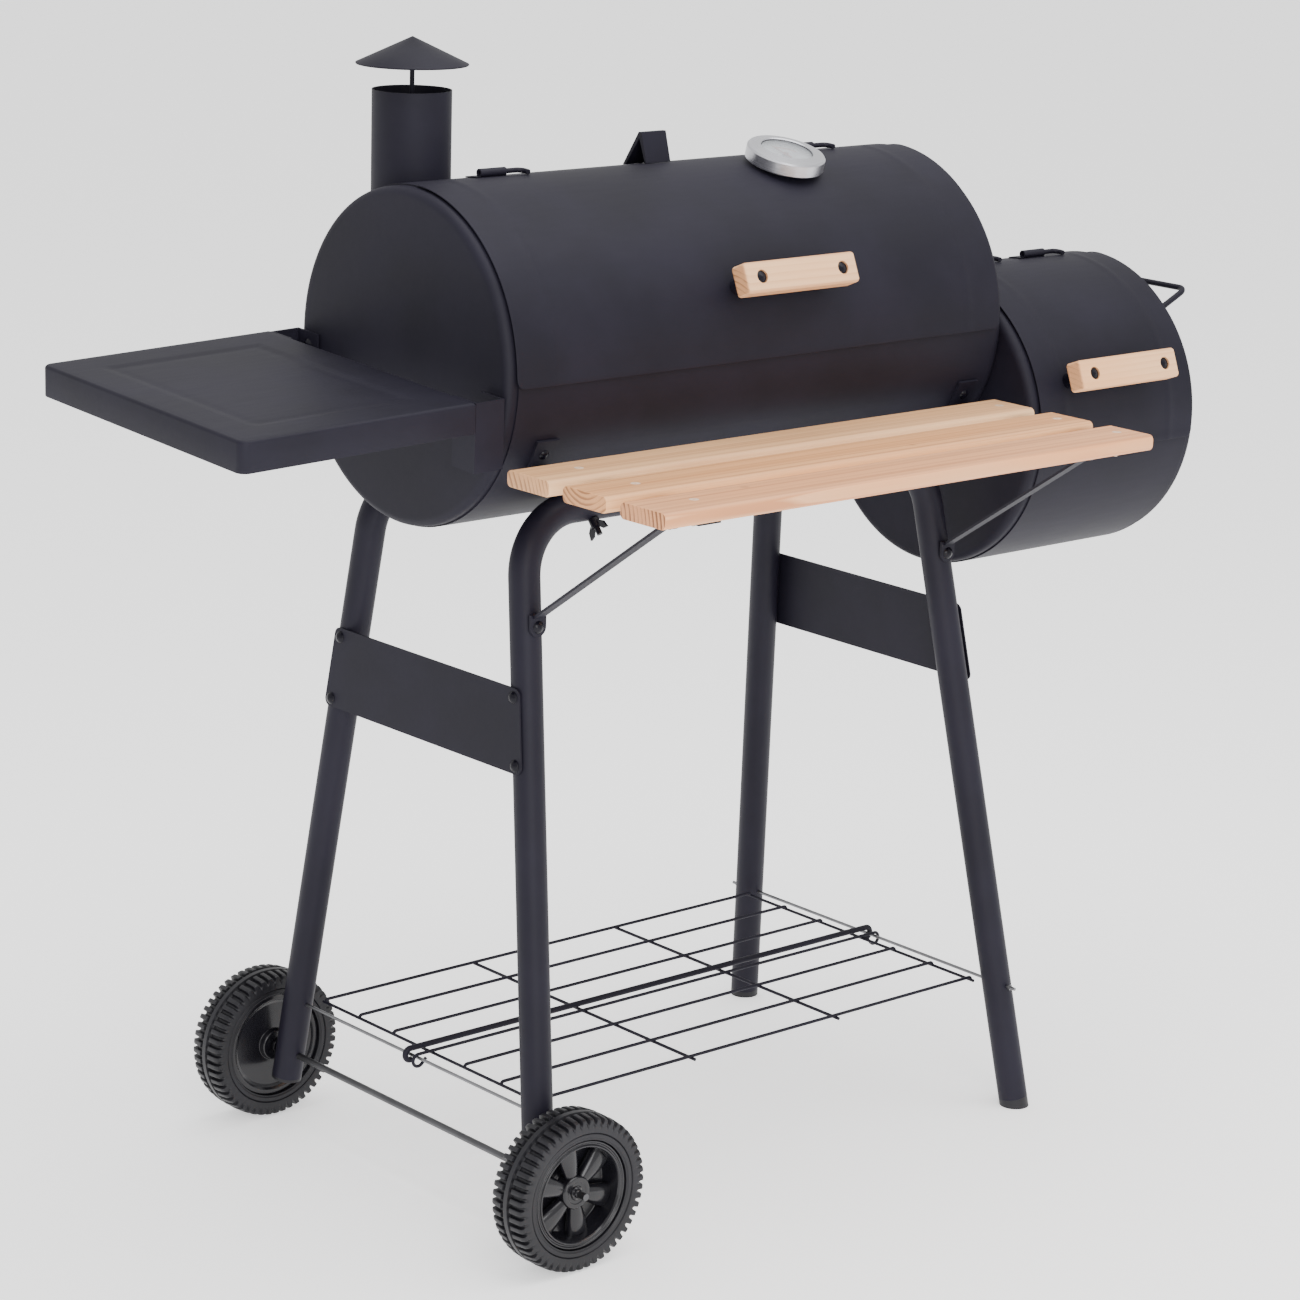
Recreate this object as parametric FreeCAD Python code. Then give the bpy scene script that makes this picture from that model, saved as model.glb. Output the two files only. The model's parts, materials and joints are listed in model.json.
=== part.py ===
"""Offset smoker: a barrel cooker with a smaller firebox on its right, on two bent-tube leg frames.

Lengths are millimetres and angles are degrees. While the parts are made, X runs along the barrel from
its left end wall, Y runs back from the barrel's axis, and Z runs up from the floor. The finished parts
are moved together, so that the origin is on the floor under the middle of the smoker's box.
"""
import FreeCAD, Part
import math
import os

# ---- driving dimensions -------------------------------------------------------------------------
SHEET = 1.2                 # thickness of all rolled and pressed sheet
GAP = 0.3                   # room left between two pieces that lie on each other
FIT = 0.08                  # radial clearance of a pin in its bore

BARREL_LENGTH = 614.0
BARREL_Z = 798.0            # height of the barrel's axis
BARREL_CAP_R = 153.0        # outer radius of the end walls' rims
FIREBOX_Y = -54.4           # the firebox sits lower than the barrel, and a little forward
FIREBOX_Z = 687.0
FIREBOX_CAP_R = 146.2
FIREBOX_LENGTH = 235.5
RIM_ROUND = 8.0             # rounding of the end walls' edges
RIM_DEPTH = 24.0            # how far an end wall's rim reaches inwards
SHELL_INSET = 12.0          # from an end wall's face to the body sheet's edge
LID_INSET = 9.0
LID_CORNER = 8.0            # rounding of a lid's corners
LID_BACK = 91.8             # angle of the lids' hinge edge, from the back over the top
LID_FRONT = 182.0           # angle of the barrel lid's front edge
FIREBOX_LID_FRONT = 187.0
LID_OPEN = 126.0            # how far the lids turn
PORT_R = 50.0               # smoke port between barrel and firebox
PORT_Y, PORT_Z = -27.0, 742.0

HINGE_BORE = 2.5
HINGE_TUBE_R = 3.9
HINGE_TUBE_LENGTH = 29.5
HINGE_REACH = 22.0          # how far a hinge rod runs past its tube
HINGE_X = (87.5, 467.4)     # left ends of the barrel's two hinge tubes
FIREBOX_HINGE_X = (651.0, 742.0)
HINGE_Y = 2.0               # the hinge line is this far behind the crest

STOP_X, STOP_WIDTH = 289.0, 30.0
STOP_REACH = 24.0           # from the hinge line to where the open lid leans on the strap

CHIMNEY_X, CHIMNEY_Y = 73.0, 83.5
CHIMNEY_R = 36.6
CHIMNEY_TOP = 1025.0
RAIN_CAP_R = 52.0
RAIN_CAP_RIM = 1048.5
RAIN_CAP_TOP = 1073.0
CAP_ROD_R = 2.2

HANDLE = (137.0, 20.0, 29.0)    # pine block: length, thickness, height
HANDLE_STANDOFF = 18.0
HANDLE_BOLT_SPACING = 100.0
HANDLE_ANGLE = 157.0
HANDLE_X = 322.0
FIREBOX_HANDLE_ANGLE = 159.0
FIREBOX_HANDLE_X = 716.0

GAUGE_X, GAUGE_ANGLE = 418.0, 106.0
GAUGE_R = 38.0
GAUGE_HEIGHT = 13.0         # of the case's side wall
GAUGE_BASE = 3.0            # from the lid to the case's back, on the stem

TABLE_X = (-276.0, -32.0)
TABLE_HALF_WIDTH = 154.0
TABLE_Z = 795.5
TABLE_SKIRT = 28.0
TABLE_ROLL = 3.2            # the pan hangs lower at its front edge
TABLE_DROOP = 1.8           # and at its outer end
BRACKET_HEIGHT = 64.0
BRACKET_WIDTH = 32.0

SHELF_X = (-4.0, 596.0)
SHELF_BACK = -160.0
SHELF_Z = 725.0
SLAT = (58.0, 15.0)         # width and thickness
SLAT_GAP = 18.0
SHELF_SCREW_X = (53.0, 577.0)
ARM_WIDTH, ARM_THICKNESS = 25.0, 2.5

TUBE_R = 14.6
TUBE_WALL = 1.3
BEND_R = 60.0
FRAME_TOP = 667.0           # height of the leg frames' top runs
SPLAY = 0.146               # how far the legs lean outwards in Y for each millimetre down
LEFT_LEAN, RIGHT_LEAN = 0.0618, 0.1197
FRAME_TOP_Y = 107.0
LEFT_TOP_X, RIGHT_TOP_X = 57.6, 555.7
LEFT_FOOT_Z = 50.0
PLATE_Z = (438.5, 516.0)    # lower and upper edge of the cross plates
PLATE_SCREW_Z = (446.0, 507.0)
STRUT_Z = 571.0             # height of the struts' bolts on the front legs

AXLE_Z = 73.8
AXLE_R = 3.3
WHEEL_Y = 236.4             # from the middle plane to a wheel's middle
WHEEL_R = 73.8
WHEEL_WIDTH = 42.0
TYRE_INNER_R = 52.0
HUB_R = 15.0

ROD_Z = 128.7               # cross rods of the rack
ROD_R = 1.6
WIRE_R = 1.6
RACK_X = (43.0, 604.0)
RACK_HALF_WIDTH = 165.0
RACK_PITCH = 55.0
CENTRE_ROD_R = 2.9

COOKING_Z, CHARCOAL_Z = 786.0, 713.0
FIREBOX_COOKING_Z, FIREBOX_CHARCOAL_Z = 672.0, 607.0
GRATE_BAR_R, GRATE_WIRE_R = 2.5, 1.6

LIFT_X = 899.0              # grip of the lifting handle
LIFT_Z = (780.0, 803.0)     # where it leaves the wall, and its grip
LIFT_HALF_WIDTH = 80.0
LIFT_R = 3.0
VENT_Z = 645.0
VENT_R = 46.0

# ---- worked out from them -----------------------------------------------------------------------
SHELL_R = BARREL_CAP_R + 0.2                # inner radius of the body sheet
LID_R = SHELL_R + SHEET + 0.5               # inner radius of the lid
FIREBOX_SHELL_R = FIREBOX_CAP_R + 0.2
FIREBOX_LID_R = FIREBOX_SHELL_R + SHEET + 0.5
FIREBOX_X = BARREL_LENGTH + 0.4
FIREBOX_END = FIREBOX_X + FIREBOX_LENGTH
LEAF_R = SHELL_R + SHEET + 0.2              # inner radius of a hinge leaf
HINGE_RISE = 2 * SHEET + 0.2 + HINGE_TUBE_R - 0.3
HINGE_Z = BARREL_Z + SHELL_R + HINGE_RISE
FIREBOX_HINGE_Y = FIREBOX_Y + HINGE_Y
FIREBOX_HINGE_Z = FIREBOX_Z + FIREBOX_SHELL_R + HINGE_RISE
AXLE_X = LEFT_TOP_X - LEFT_LEAN * (FRAME_TOP - AXLE_Z)


def vec(x, y, z):
    return FreeCAD.Vector(x, y, z)


# ---- shapes that are used again and again --------------------------------------------------------
def box(x0, x1, y0, y1, z0, z1):
    return Part.makeBox(x1 - x0, y1 - y0, z1 - z0, vec(x0, y0, z0))


def cylinder(start, end, radius):
    return Part.makeCylinder(radius, (end - start).Length, start, end - start)


def fuse(pieces):
    return pieces[0].multiFuse(pieces[1:]).removeSplitter()


def outline(start, *steps):
    """A flat closed wire; a step is a corner, or a pair: a point on an arc and the arc's end."""
    edges = []
    here = start
    for step in list(steps) + [start]:
        if isinstance(step, tuple):
            edges.append(Part.Arc(here, step[0], step[1]).toShape())
            here = step[1]
        elif (step - here).Length > 1e-6:
            edges.append(Part.makeLine(here, step))
            here = step
    return Part.Wire(edges)


def place(shape, point, direction):
    """Moves a shape made at the origin along +Z to a point, with +Z turned into a direction."""
    shape.Placement = FreeCAD.Placement(point, FreeCAD.Rotation(vec(0, 0, 1), direction))
    return shape


def spin(points, middle_arcs=()):
    """A solid turned about Z from (radius, height) points; middle_arcs gives an arc's mid point by index."""
    steps = []
    for index, (radius, height) in enumerate(points[1:], 1):
        corner = vec(radius, 0, height)
        arc = dict(middle_arcs).get(index)
        steps.append((vec(arc[0], 0, arc[1]), corner) if arc else corner)
    wire = outline(vec(points[0][0], 0, points[0][1]), *steps)
    solid = Part.Face(wire).revolve(vec(0, 0, 0), vec(0, 0, 1), 360)
    return solid if solid.Volume > 0 else solid.reversed()


def bent_path(points, bend):
    """A wire of straight runs through points, joined by arcs of one bend radius."""
    edges = []
    here = points[0]
    for before, corner, after in zip(points, points[1:], points[2:]):
        back = (before - corner).normalize()
        ahead = (after - corner).normalize()
        half = back.getAngle(ahead) / 2
        start = corner + back * (bend / math.tan(half))
        end = corner + ahead * (bend / math.tan(half))
        inward = (back + ahead).normalize()
        middle = corner + inward * (bend / math.sin(half) - bend)
        edges.append(Part.makeLine(here, start))
        edges.append(Part.Arc(start, middle, end).toShape())
        here = end
    edges.append(Part.makeLine(here, points[-1]))
    return Part.Wire(edges)


def bar(path, radius):
    """A round bar along a wire."""
    first = path.Edges[0]
    start = first.Vertexes[0].Point
    along = first.tangentAt(first.FirstParameter)
    profile = Part.Wire(Part.makeCircle(radius, start, along))
    return path.makePipeShell([profile], True, False)


def polar(axis_y, axis_z, radius, angle, x=0.0):
    """A point round an axis along X: angle 0 is at the back, 90 at the top and 180 at the front."""
    turn = math.radians(angle)
    return vec(x, axis_y + radius * math.cos(turn), axis_z + radius * math.sin(turn))


def curved_sheet(axis, radius, angles, ends, corner=0.0):
    """A rolled sheet round an axis along X, between two angles and two X values."""
    thick = radius + SHEET
    first, last = angles
    middle = (first + last) / 2
    wire = outline(polar(*axis, radius, first, ends[0]),
                   (polar(*axis, radius, middle, ends[0]), polar(*axis, radius, last, ends[0])),
                   polar(*axis, thick, last, ends[0]),
                   (polar(*axis, thick, middle, ends[0]), polar(*axis, thick, first, ends[0])))
    sheet = Part.Face(wire).extrude(vec(ends[1] - ends[0], 0, 0))
    if corner:
        short = [edge for edge in sheet.Edges if edge.Length < SHEET + 0.1]
        sheet = sheet.makeFillet(corner, short)
    return sheet


def bolt(point, direction, radius, length, head=(2.0, 1.1), grow=0.0):
    """A domed screw: point is under its head, direction leads out of the head."""
    shank = radius + grow
    cap_r, cap_h = radius * head[0], radius * head[1]
    sphere = (cap_r ** 2 + cap_h ** 2) / (2 * cap_h)
    turn = math.asin(cap_r / sphere) / 2
    mid = (sphere * math.sin(turn), sphere * math.cos(turn) - sphere + cap_h)
    shape = spin([(0, -length), (shank, -length), (shank, 0), (cap_r, 0), (0, cap_h)], [(4, mid)])
    return place(shape, point, direction)


def nut(point, direction, radius, across=1.8, height=1.6):
    """A hexagonal nut with its face at point, standing along direction."""
    corner = radius * across
    ring = [vec(corner * math.cos(turn), corner * math.sin(turn), 0)
            for turn in (math.radians(60 * n) for n in range(6))]
    hexagon = Part.Face(outline(*ring)).extrude(vec(0, 0, radius * height))
    hexagon = hexagon.cut(Part.makeCylinder(radius + 0.1, radius * 4, vec(0, 0, -radius)))
    return place(hexagon, point, direction)


def drilled(shape, tools):
    for tool in tools:
        shape = shape.cut(tool)
    return shape


# ---- barrel and firebox --------------------------------------------------------------------------
def pressed_end(radius):
    """A round wall pressed from sheet, at z 0, with its rim running up."""
    bend = RIM_ROUND * (1 - math.sqrt(0.5))
    inner = radius - SHEET
    return spin([(0, 0), (radius - RIM_ROUND, 0), (radius, RIM_ROUND), (radius, RIM_DEPTH),
                 (inner, RIM_DEPTH), (inner, RIM_ROUND), (radius - RIM_ROUND, SHEET), (0, SHEET)],
                [(2, (radius - bend, bend)),
                 (6, (radius - bend - SHEET * math.sqrt(0.5), bend + SHEET * math.sqrt(0.5)))])


def port_hole():
    return cylinder(vec(BARREL_LENGTH - 5, PORT_Y, PORT_Z), vec(FIREBOX_X + 5, PORT_Y, PORT_Z), PORT_R)


def joining_points():
    """Where four bolts hold the firebox on the barrel, round the smoke port."""
    return [polar(PORT_Y, PORT_Z, PORT_R + 12, angle, BARREL_LENGTH) for angle in (45, 135, 225, 315)]


def joining_bolts(grow=0.0):
    start = SHEET + GAP
    return [bolt(point - vec(start, 0, 0), vec(-1, 0, 0), 3.0, 10.0, grow=grow)
            for point in joining_points()]


def barrel_end_left():
    wall = place(pressed_end(BARREL_CAP_R), vec(0, 0, BARREL_Z), vec(1, 0, 0))
    return drilled(wall, table_wall_bolts(0.2))


def barrel_end_right():
    wall = place(pressed_end(BARREL_CAP_R), vec(BARREL_LENGTH, 0, BARREL_Z), vec(-1, 0, 0))
    return drilled(wall, [port_hole()] + joining_bolts(0.2))


def firebox_end_left():
    wall = place(pressed_end(FIREBOX_CAP_R), vec(FIREBOX_X, FIREBOX_Y, FIREBOX_Z), vec(1, 0, 0))
    return drilled(wall, [port_hole()] + joining_bolts(0.2))


def vent_slots(x0, x1):
    """Three round air holes round the vent's middle."""
    holes = [polar(FIREBOX_Y, VENT_Z, 27, angle, x0) for angle in (90, 210, 330)]
    return [cylinder(point, point + vec(x1 - x0, 0, 0), 12) for point in holes]


def firebox_end_right():
    wall = place(pressed_end(FIREBOX_CAP_R), vec(FIREBOX_END, FIREBOX_Y, FIREBOX_Z), vec(-1, 0, 0))
    return drilled(wall, vent_slots(FIREBOX_END - 9, FIREBOX_END + 5) + [vent_rivet(0.2)])


def barrel_shell():
    ends = (SHELL_INSET, BARREL_LENGTH - SHELL_INSET)
    shell = curved_sheet((0, BARREL_Z), SHELL_R, (-182.0, 97.0), ends)
    flue = cylinder(vec(CHIMNEY_X, CHIMNEY_Y, BARREL_Z + 60), vec(CHIMNEY_X, CHIMNEY_Y, CHIMNEY_TOP),
                    CHIMNEY_R - 2)
    return drilled(shell, [flue] + wing_bolts(0.2) + arm_screws(0.2))


def firebox_shell():
    ends = (FIREBOX_X + SHELL_INSET, FIREBOX_END - SHELL_INSET)
    return curved_sheet((FIREBOX_Y, FIREBOX_Z), FIREBOX_SHELL_R, (-177.0, 97.0), ends)


def main_lid():
    ends = (LID_INSET, BARREL_LENGTH - LID_INSET)
    lid = curved_sheet((0, BARREL_Z), LID_R, (LID_BACK, LID_FRONT), ends, LID_CORNER)
    stem = cylinder(gauge_point(-20), gauge_point(20), 4.2)
    return drilled(lid, handle_bolts(0.2) + [stem])


def firebox_lid():
    ends = (FIREBOX_X + LID_INSET, FIREBOX_END - LID_INSET)
    angles = (LID_BACK, FIREBOX_LID_FRONT)
    lid = curved_sheet((FIREBOX_Y, FIREBOX_Z), FIREBOX_LID_R, angles, ends, LID_CORNER)
    return drilled(lid, firebox_handle_bolts(0.2))


# ---- hinges and lid stop -------------------------------------------------------------------------
def hinge_tube(x, axis_y, axis_z, shell_r):
    """A rolled tube on a leaf that follows the body sheet behind it."""
    line_y = axis_y + HINGE_Y
    line_z = axis_z + shell_r + HINGE_RISE
    ends = (x, x + HINGE_TUBE_LENGTH)
    leaf = curved_sheet((axis_y, axis_z), shell_r + SHEET + 0.2, (82.0, 90.3), ends)
    tube = cylinder(vec(ends[0], line_y, line_z), vec(ends[1], line_y, line_z), HINGE_TUBE_R)
    bore = cylinder(vec(ends[0] - 1, line_y, line_z), vec(ends[1] + 1, line_y, line_z), HINGE_BORE)
    return fuse([leaf, tube]).cut(bore)


def hinge_rod(x, axis_y, axis_z, lid_r):
    """A rod that turns in the tube, runs on past it, and bends forwards onto the lid."""
    line_y = axis_y + HINGE_Y
    line_z = axis_z + lid_r + HINGE_RISE - SHEET - 0.5
    radius = HINGE_BORE - FIT
    side = x + HINGE_TUBE_LENGTH + HINGE_REACH - radius
    foot_y = -8.0
    foot_z = axis_z + math.sqrt((lid_r + SHEET + radius + 0.2) ** 2 - foot_y ** 2)
    points = [vec(x + 3, line_y, line_z), vec(side, line_y, line_z), vec(side, axis_y + foot_y, foot_z)]
    return bar(bent_path(points, 7.0), radius)


def lid_hinge_tubes():
    return [hinge_tube(x, 0, BARREL_Z, SHELL_R) for x in HINGE_X]


def lid_hinge_rods():
    return [hinge_rod(x, 0, BARREL_Z, LID_R) for x in HINGE_X]


def firebox_hinge_tubes():
    return [hinge_tube(x, FIREBOX_Y, FIREBOX_Z, FIREBOX_SHELL_R) for x in FIREBOX_HINGE_X]


def firebox_hinge_rods():
    return [hinge_rod(x, FIREBOX_Y, FIREBOX_Z, FIREBOX_LID_R) for x in FIREBOX_HINGE_X]


def stop_apex():
    """The open lid's outer face, STOP_REACH from the hinge line, turned with the lid, less a gap."""
    outer = LID_R + SHEET + 2 * GAP
    y = -STOP_REACH
    z = BARREL_Z + math.sqrt(outer ** 2 - y ** 2)
    turn = math.radians(LID_OPEN)
    dy, dz = y - HINGE_Y, z - HINGE_Z
    return (HINGE_Y + dy * math.cos(turn) + dz * math.sin(turn),
            HINGE_Z - dy * math.sin(turn) + dz * math.cos(turn))


def lid_stop():
    """A strap folded to an upside-down V, with a small foot at each end on the body sheet."""
    apex_y, apex_z = stop_apex()
    foot = SHELL_R + SHEET + 0.2
    strap = 2.0
    legs = []
    for foot_y in (apex_y - 8.0, apex_y + 24.0):
        foot_z = BARREL_Z + math.sqrt(foot ** 2 - foot_y ** 2)
        legs.append((foot_y, foot_z))
    front, rear = legs
    wire = outline(vec(STOP_X, front[0], front[1] + 0.3), vec(STOP_X, apex_y, apex_z),
                   vec(STOP_X, apex_y + 4.0, apex_z), vec(STOP_X, rear[0] + strap, rear[1]),
                   vec(STOP_X, rear[0] - strap, rear[1] + 0.6), vec(STOP_X, apex_y + 3.0, apex_z - 6.0),
                   vec(STOP_X, front[0] + strap, front[1] + 0.1))
    return Part.Face(wire).extrude(vec(STOP_WIDTH, 0, 0))


# ---- chimney -------------------------------------------------------------------------------------
def chimney_pipe():
    foot = vec(CHIMNEY_X, CHIMNEY_Y, BARREL_Z + 60)
    top = vec(CHIMNEY_X, CHIMNEY_Y, CHIMNEY_TOP)
    pipe = cylinder(foot, top, CHIMNEY_R).cut(cylinder(foot, top, CHIMNEY_R - SHEET))
    barrel = cylinder(vec(-5, 0, BARREL_Z), vec(BARREL_LENGTH, 0, BARREL_Z), SHELL_R + SHEET + 0.2)
    return pipe.cut(barrel)


def chimney_crossbar():
    half = CHIMNEY_R - SHEET - 0.2
    strap = box(CHIMNEY_X - half, CHIMNEY_X + half, CHIMNEY_Y - 7, CHIMNEY_Y + 7, 996, 998)
    round_ends = cylinder(vec(CHIMNEY_X, CHIMNEY_Y, 990), vec(CHIMNEY_X, CHIMNEY_Y, 1000), half)
    bore = cylinder(vec(CHIMNEY_X, CHIMNEY_Y, 990), vec(CHIMNEY_X, CHIMNEY_Y, 1000), CAP_ROD_R + FIT)
    return strap.common(round_ends).cut(bore)


def chimney_cap():
    """A sheet cone welded on a rod that slides in the cross-bar."""
    rise = RAIN_CAP_TOP - RAIN_CAP_RIM
    cone = spin([(0, rise), (RAIN_CAP_R, 0), (RAIN_CAP_R, -SHEET), (0, rise - SHEET * 1.2)])
    rod = Part.makeCylinder(CAP_ROD_R, rise + 86, vec(0, 0, -88))
    cap = fuse([cone, rod])
    cap.translate(vec(CHIMNEY_X, CHIMNEY_Y, RAIN_CAP_RIM))
    return cap


# ---- handles -------------------------------------------------------------------------------------
def handle_frame(axis, lid_r, angle, x):
    """The point on the lid's face under a handle's middle, and the direction straight out of it."""
    base = polar(*axis, lid_r + SHEET, angle, x)
    out = polar(0, 0, 1, angle)
    return base, out


def wood_block(frame, bolts):
    base, out = frame
    length, thickness, height = HANDLE
    block = box(-length / 2, length / 2, -height / 2, height / 2, 0, thickness)
    block = block.makeFillet(3.5, block.Edges)
    turn = math.degrees(math.atan2(-out.y, out.z))
    block.rotate(vec(0, 0, 0), vec(1, 0, 0), turn)
    block.translate(base + out * HANDLE_STANDOFF)
    return drilled(block, bolts)


def handle_ends(frame):
    base, out = frame
    half = HANDLE_BOLT_SPACING / 2
    return [(base + vec(side * half, 0, 0), out) for side in (-1, 1)]


def standoffs(frame, reach=0.25):
    """Sleeves between lid and block, cut to the lid's curve by staying a little off it."""
    sleeves = []
    for point, out in handle_ends(frame):
        start = point + out * reach
        end = point + out * (HANDLE_STANDOFF - 0.05)
        sleeves.append(cylinder(start, end, 7.5).cut(cylinder(start, end, 2.7)))
    return sleeves


def block_bolts(frame, grow=0.0):
    """Bolts with their heads sunk in the block, right through to a nut inside the lid."""
    bolts = []
    for point, out in handle_ends(frame):
        sink = HANDLE_STANDOFF + HANDLE[1] - 3.0
        head = spin([(0, 0), (5.6 + grow, 0), (5.6 + grow, 1.6), (0, 3.4 + grow * 60)], [])
        shank = Part.makeCylinder(2.5 + grow, sink + 8.0, vec(0, 0, -sink - 8.0))
        bolts.append(place(fuse([head, shank]), point + out * sink, out))
    return bolts


def sunk_holes(frame):
    """The recess and shank holes that the bolts need in the wood."""
    holes = []
    for point, out in handle_ends(frame):
        sink = HANDLE_STANDOFF + HANDLE[1] - 3.0
        holes.append(cylinder(point + out * sink, point + out * (sink + 9), 6.3))
        holes.append(cylinder(point, point + out * sink, 2.7))
    return holes


def lid_handle_frame():
    return handle_frame((0, BARREL_Z), LID_R, HANDLE_ANGLE, HANDLE_X)


def firebox_handle_frame():
    return handle_frame((FIREBOX_Y, FIREBOX_Z), FIREBOX_LID_R, FIREBOX_HANDLE_ANGLE, FIREBOX_HANDLE_X)


def shank_holes(frame, grow):
    return [cylinder(point - out * 10, point + out * 10, 2.5 + grow) for point, out in handle_ends(frame)]


def handle_bolts(grow=0.0):
    return shank_holes(lid_handle_frame(), grow)


def firebox_handle_bolts(grow=0.0):
    return shank_holes(firebox_handle_frame(), grow)


def bolts_and_nuts(frame):
    nuts = [nut(point - out * (SHEET + 0.3), out * -1, 2.5) for point, out in handle_ends(frame)]
    return block_bolts(frame) + nuts


# ---- thermometer ---------------------------------------------------------------------------------
def gauge_point(height):
    """A point on the thermometer's axis, a height above the lid's outer face."""
    return polar(0, BARREL_Z, LID_R + SHEET + height, GAUGE_ANGLE, GAUGE_X)


def on_gauge(shape):
    return place(shape, gauge_point(GAUGE_BASE), polar(0, 0, 1, GAUGE_ANGLE))


def thermometer_case():
    top, rim = GAUGE_HEIGHT, GAUGE_R
    return on_gauge(spin([(3.2, 0), (rim, 0), (rim, top - 1), (rim - 1, top), (25, top + 3), (25, top + 1),
                          (rim - 2, top - 1.2), (rim - 1.2, 1.2), (3.2, 1.2)]))


def thermometer_dial():
    return on_gauge(spin([(3.2, 7.0), (30, 7.0), (30, 7.6), (3.2, 7.6)]))


def thermometer_glass():
    return on_gauge(spin([(0, 11.8), (24.8, 11.8), (24.8, 13.2), (0, 13.2)]))


def thermometer_stem():
    """The probe, with a collar between case and lid and a thread for the nut inside."""
    return on_gauge(spin([(0, -60), (3.0, -60), (3.0, -2.85), (7.0, -2.85), (7.0, -0.1), (3.0, -0.1),
                          (3.0, 8.4), (1.2, 8.4), (1.2, 10.6), (0, 10.6)]))


def thermometer_needle():
    """A flat pointer with a short tail, on the stem's pivot."""
    pointer = outline(vec(-1.2, -8, 8.8), vec(1.2, -8, 8.8), vec(0.3, 21, 8.8), vec(-0.3, 21, 8.8))
    blade = Part.Face(pointer).extrude(vec(0, 0, 0.6))
    boss = Part.makeCylinder(2.6, 1.6, vec(0, 0, 8.7))
    bore = Part.makeCylinder(1.2 + FIT, 4, vec(0, 0, 8))
    needle = fuse([blade, boss]).cut(bore)
    needle.rotate(vec(0, 0, 0), vec(0, 0, 1), 135)
    return on_gauge(needle)


# ---- vent and lifting handle ---------------------------------------------------------------------
def vent_rivet(grow=0.0):
    point = vec(FIREBOX_END + GAP + SHEET + 0.3, FIREBOX_Y, VENT_Z)
    return bolt(point, vec(1, 0, 0), 3.0, 5.0, (2.0, 0.8), grow)


def vent_shutter():
    """A round plate with the wall's three holes, and a small knob to turn it by."""
    start = vec(FIREBOX_END + GAP, FIREBOX_Y, VENT_Z)
    plate = cylinder(start, start + vec(SHEET, 0, 0), VENT_R)
    plate = drilled(plate, vent_slots(FIREBOX_END - 1, FIREBOX_END + 9))
    knob = polar(FIREBOX_Y, VENT_Z, VENT_R - 8, 150, FIREBOX_END + GAP)
    grip = cylinder(knob, knob + vec(14, 0, 0), 4.0)
    bore = cylinder(start - vec(1, 0, 0), start + vec(9, 0, 0), 3.0 + FIT)
    return fuse([plate, grip]).cut(bore)


def lifting_handle():
    wall = FIREBOX_END + 0.1
    points = []
    for side in (-1, 1):
        y = FIREBOX_Y + side * LIFT_HALF_WIDTH
        pair = [vec(wall - 4, y, LIFT_Z[0] - 2), vec(LIFT_X, y, LIFT_Z[1])]
        points += pair if side < 0 else pair[::-1]
    return bar(bent_path(points, 9.0), LIFT_R).cut(box(wall - 20, wall, -200, 100, 700, 850))


# ---- side table ----------------------------------------------------------------------------------
def tilted(shape):
    """Turns a piece of the side table with the pan, about the brackets' lower edge on the wall."""
    pivot = vec(0, 0, TABLE_Z - BRACKET_HEIGHT)
    shape.rotate(pivot, vec(0, 1, 0), -TABLE_DROOP)
    shape.rotate(vec(0, 0, TABLE_Z), vec(1, 0, 0), TABLE_ROLL)
    return shape


def side_table():
    x0, x1 = TABLE_X
    half = TABLE_HALF_WIDTH
    low = TABLE_Z - TABLE_SKIRT
    pan = box(x0, x1, -half, half, low, TABLE_Z)
    upright = [edge for edge in pan.Edges if abs(edge.tangentAt(0).z) > 0.9]
    pan = pan.makeFillet(9.0, upright)
    rim = [edge for edge in pan.Edges if edge.BoundBox.ZMin > TABLE_Z - 0.1]
    pan = pan.makeFillet(3.0, rim)
    hollow = box(x0 + SHEET, x1 - SHEET, -half + SHEET, half - SHEET, low - 1, TABLE_Z - SHEET)
    upright = [edge for edge in hollow.Edges if abs(edge.tangentAt(0).z) > 0.9]
    pan = pan.cut(hollow.makeFillet(7.8, upright))
    return tilted(drilled(pan, flat_table_bolts(0.2)[:4]))


def bracket_places():
    """Front and back bracket: its outer face's y and the way its flanges turn."""
    return [(-TABLE_HALF_WIDTH + 1, 1), (TABLE_HALF_WIDTH - 1, -1)]


def flat_table_bolts(grow=0.0):
    """Two bolts through each bracket into the pan's skirt, then one through each into the barrel's wall."""
    skirt, wall = [], []
    for y, turn in bracket_places():
        middle = y + turn * 18
        for dz in (9, 19):
            point = vec(TABLE_X[1] + GAP + 2.0, middle, TABLE_Z - dz)
            skirt.append(bolt(point, vec(1, 0, 0), 2.0, 7.0, grow=grow))
        wall.append(bolt(vec(-2.3, middle, TABLE_Z - 14), vec(-1, 0, 0), 3.0, 10.0, grow=grow))
    return skirt + wall


def table_wall_bolts(grow=0.0):
    return [tilted(shape) for shape in flat_table_bolts(grow)[4:]]


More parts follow.
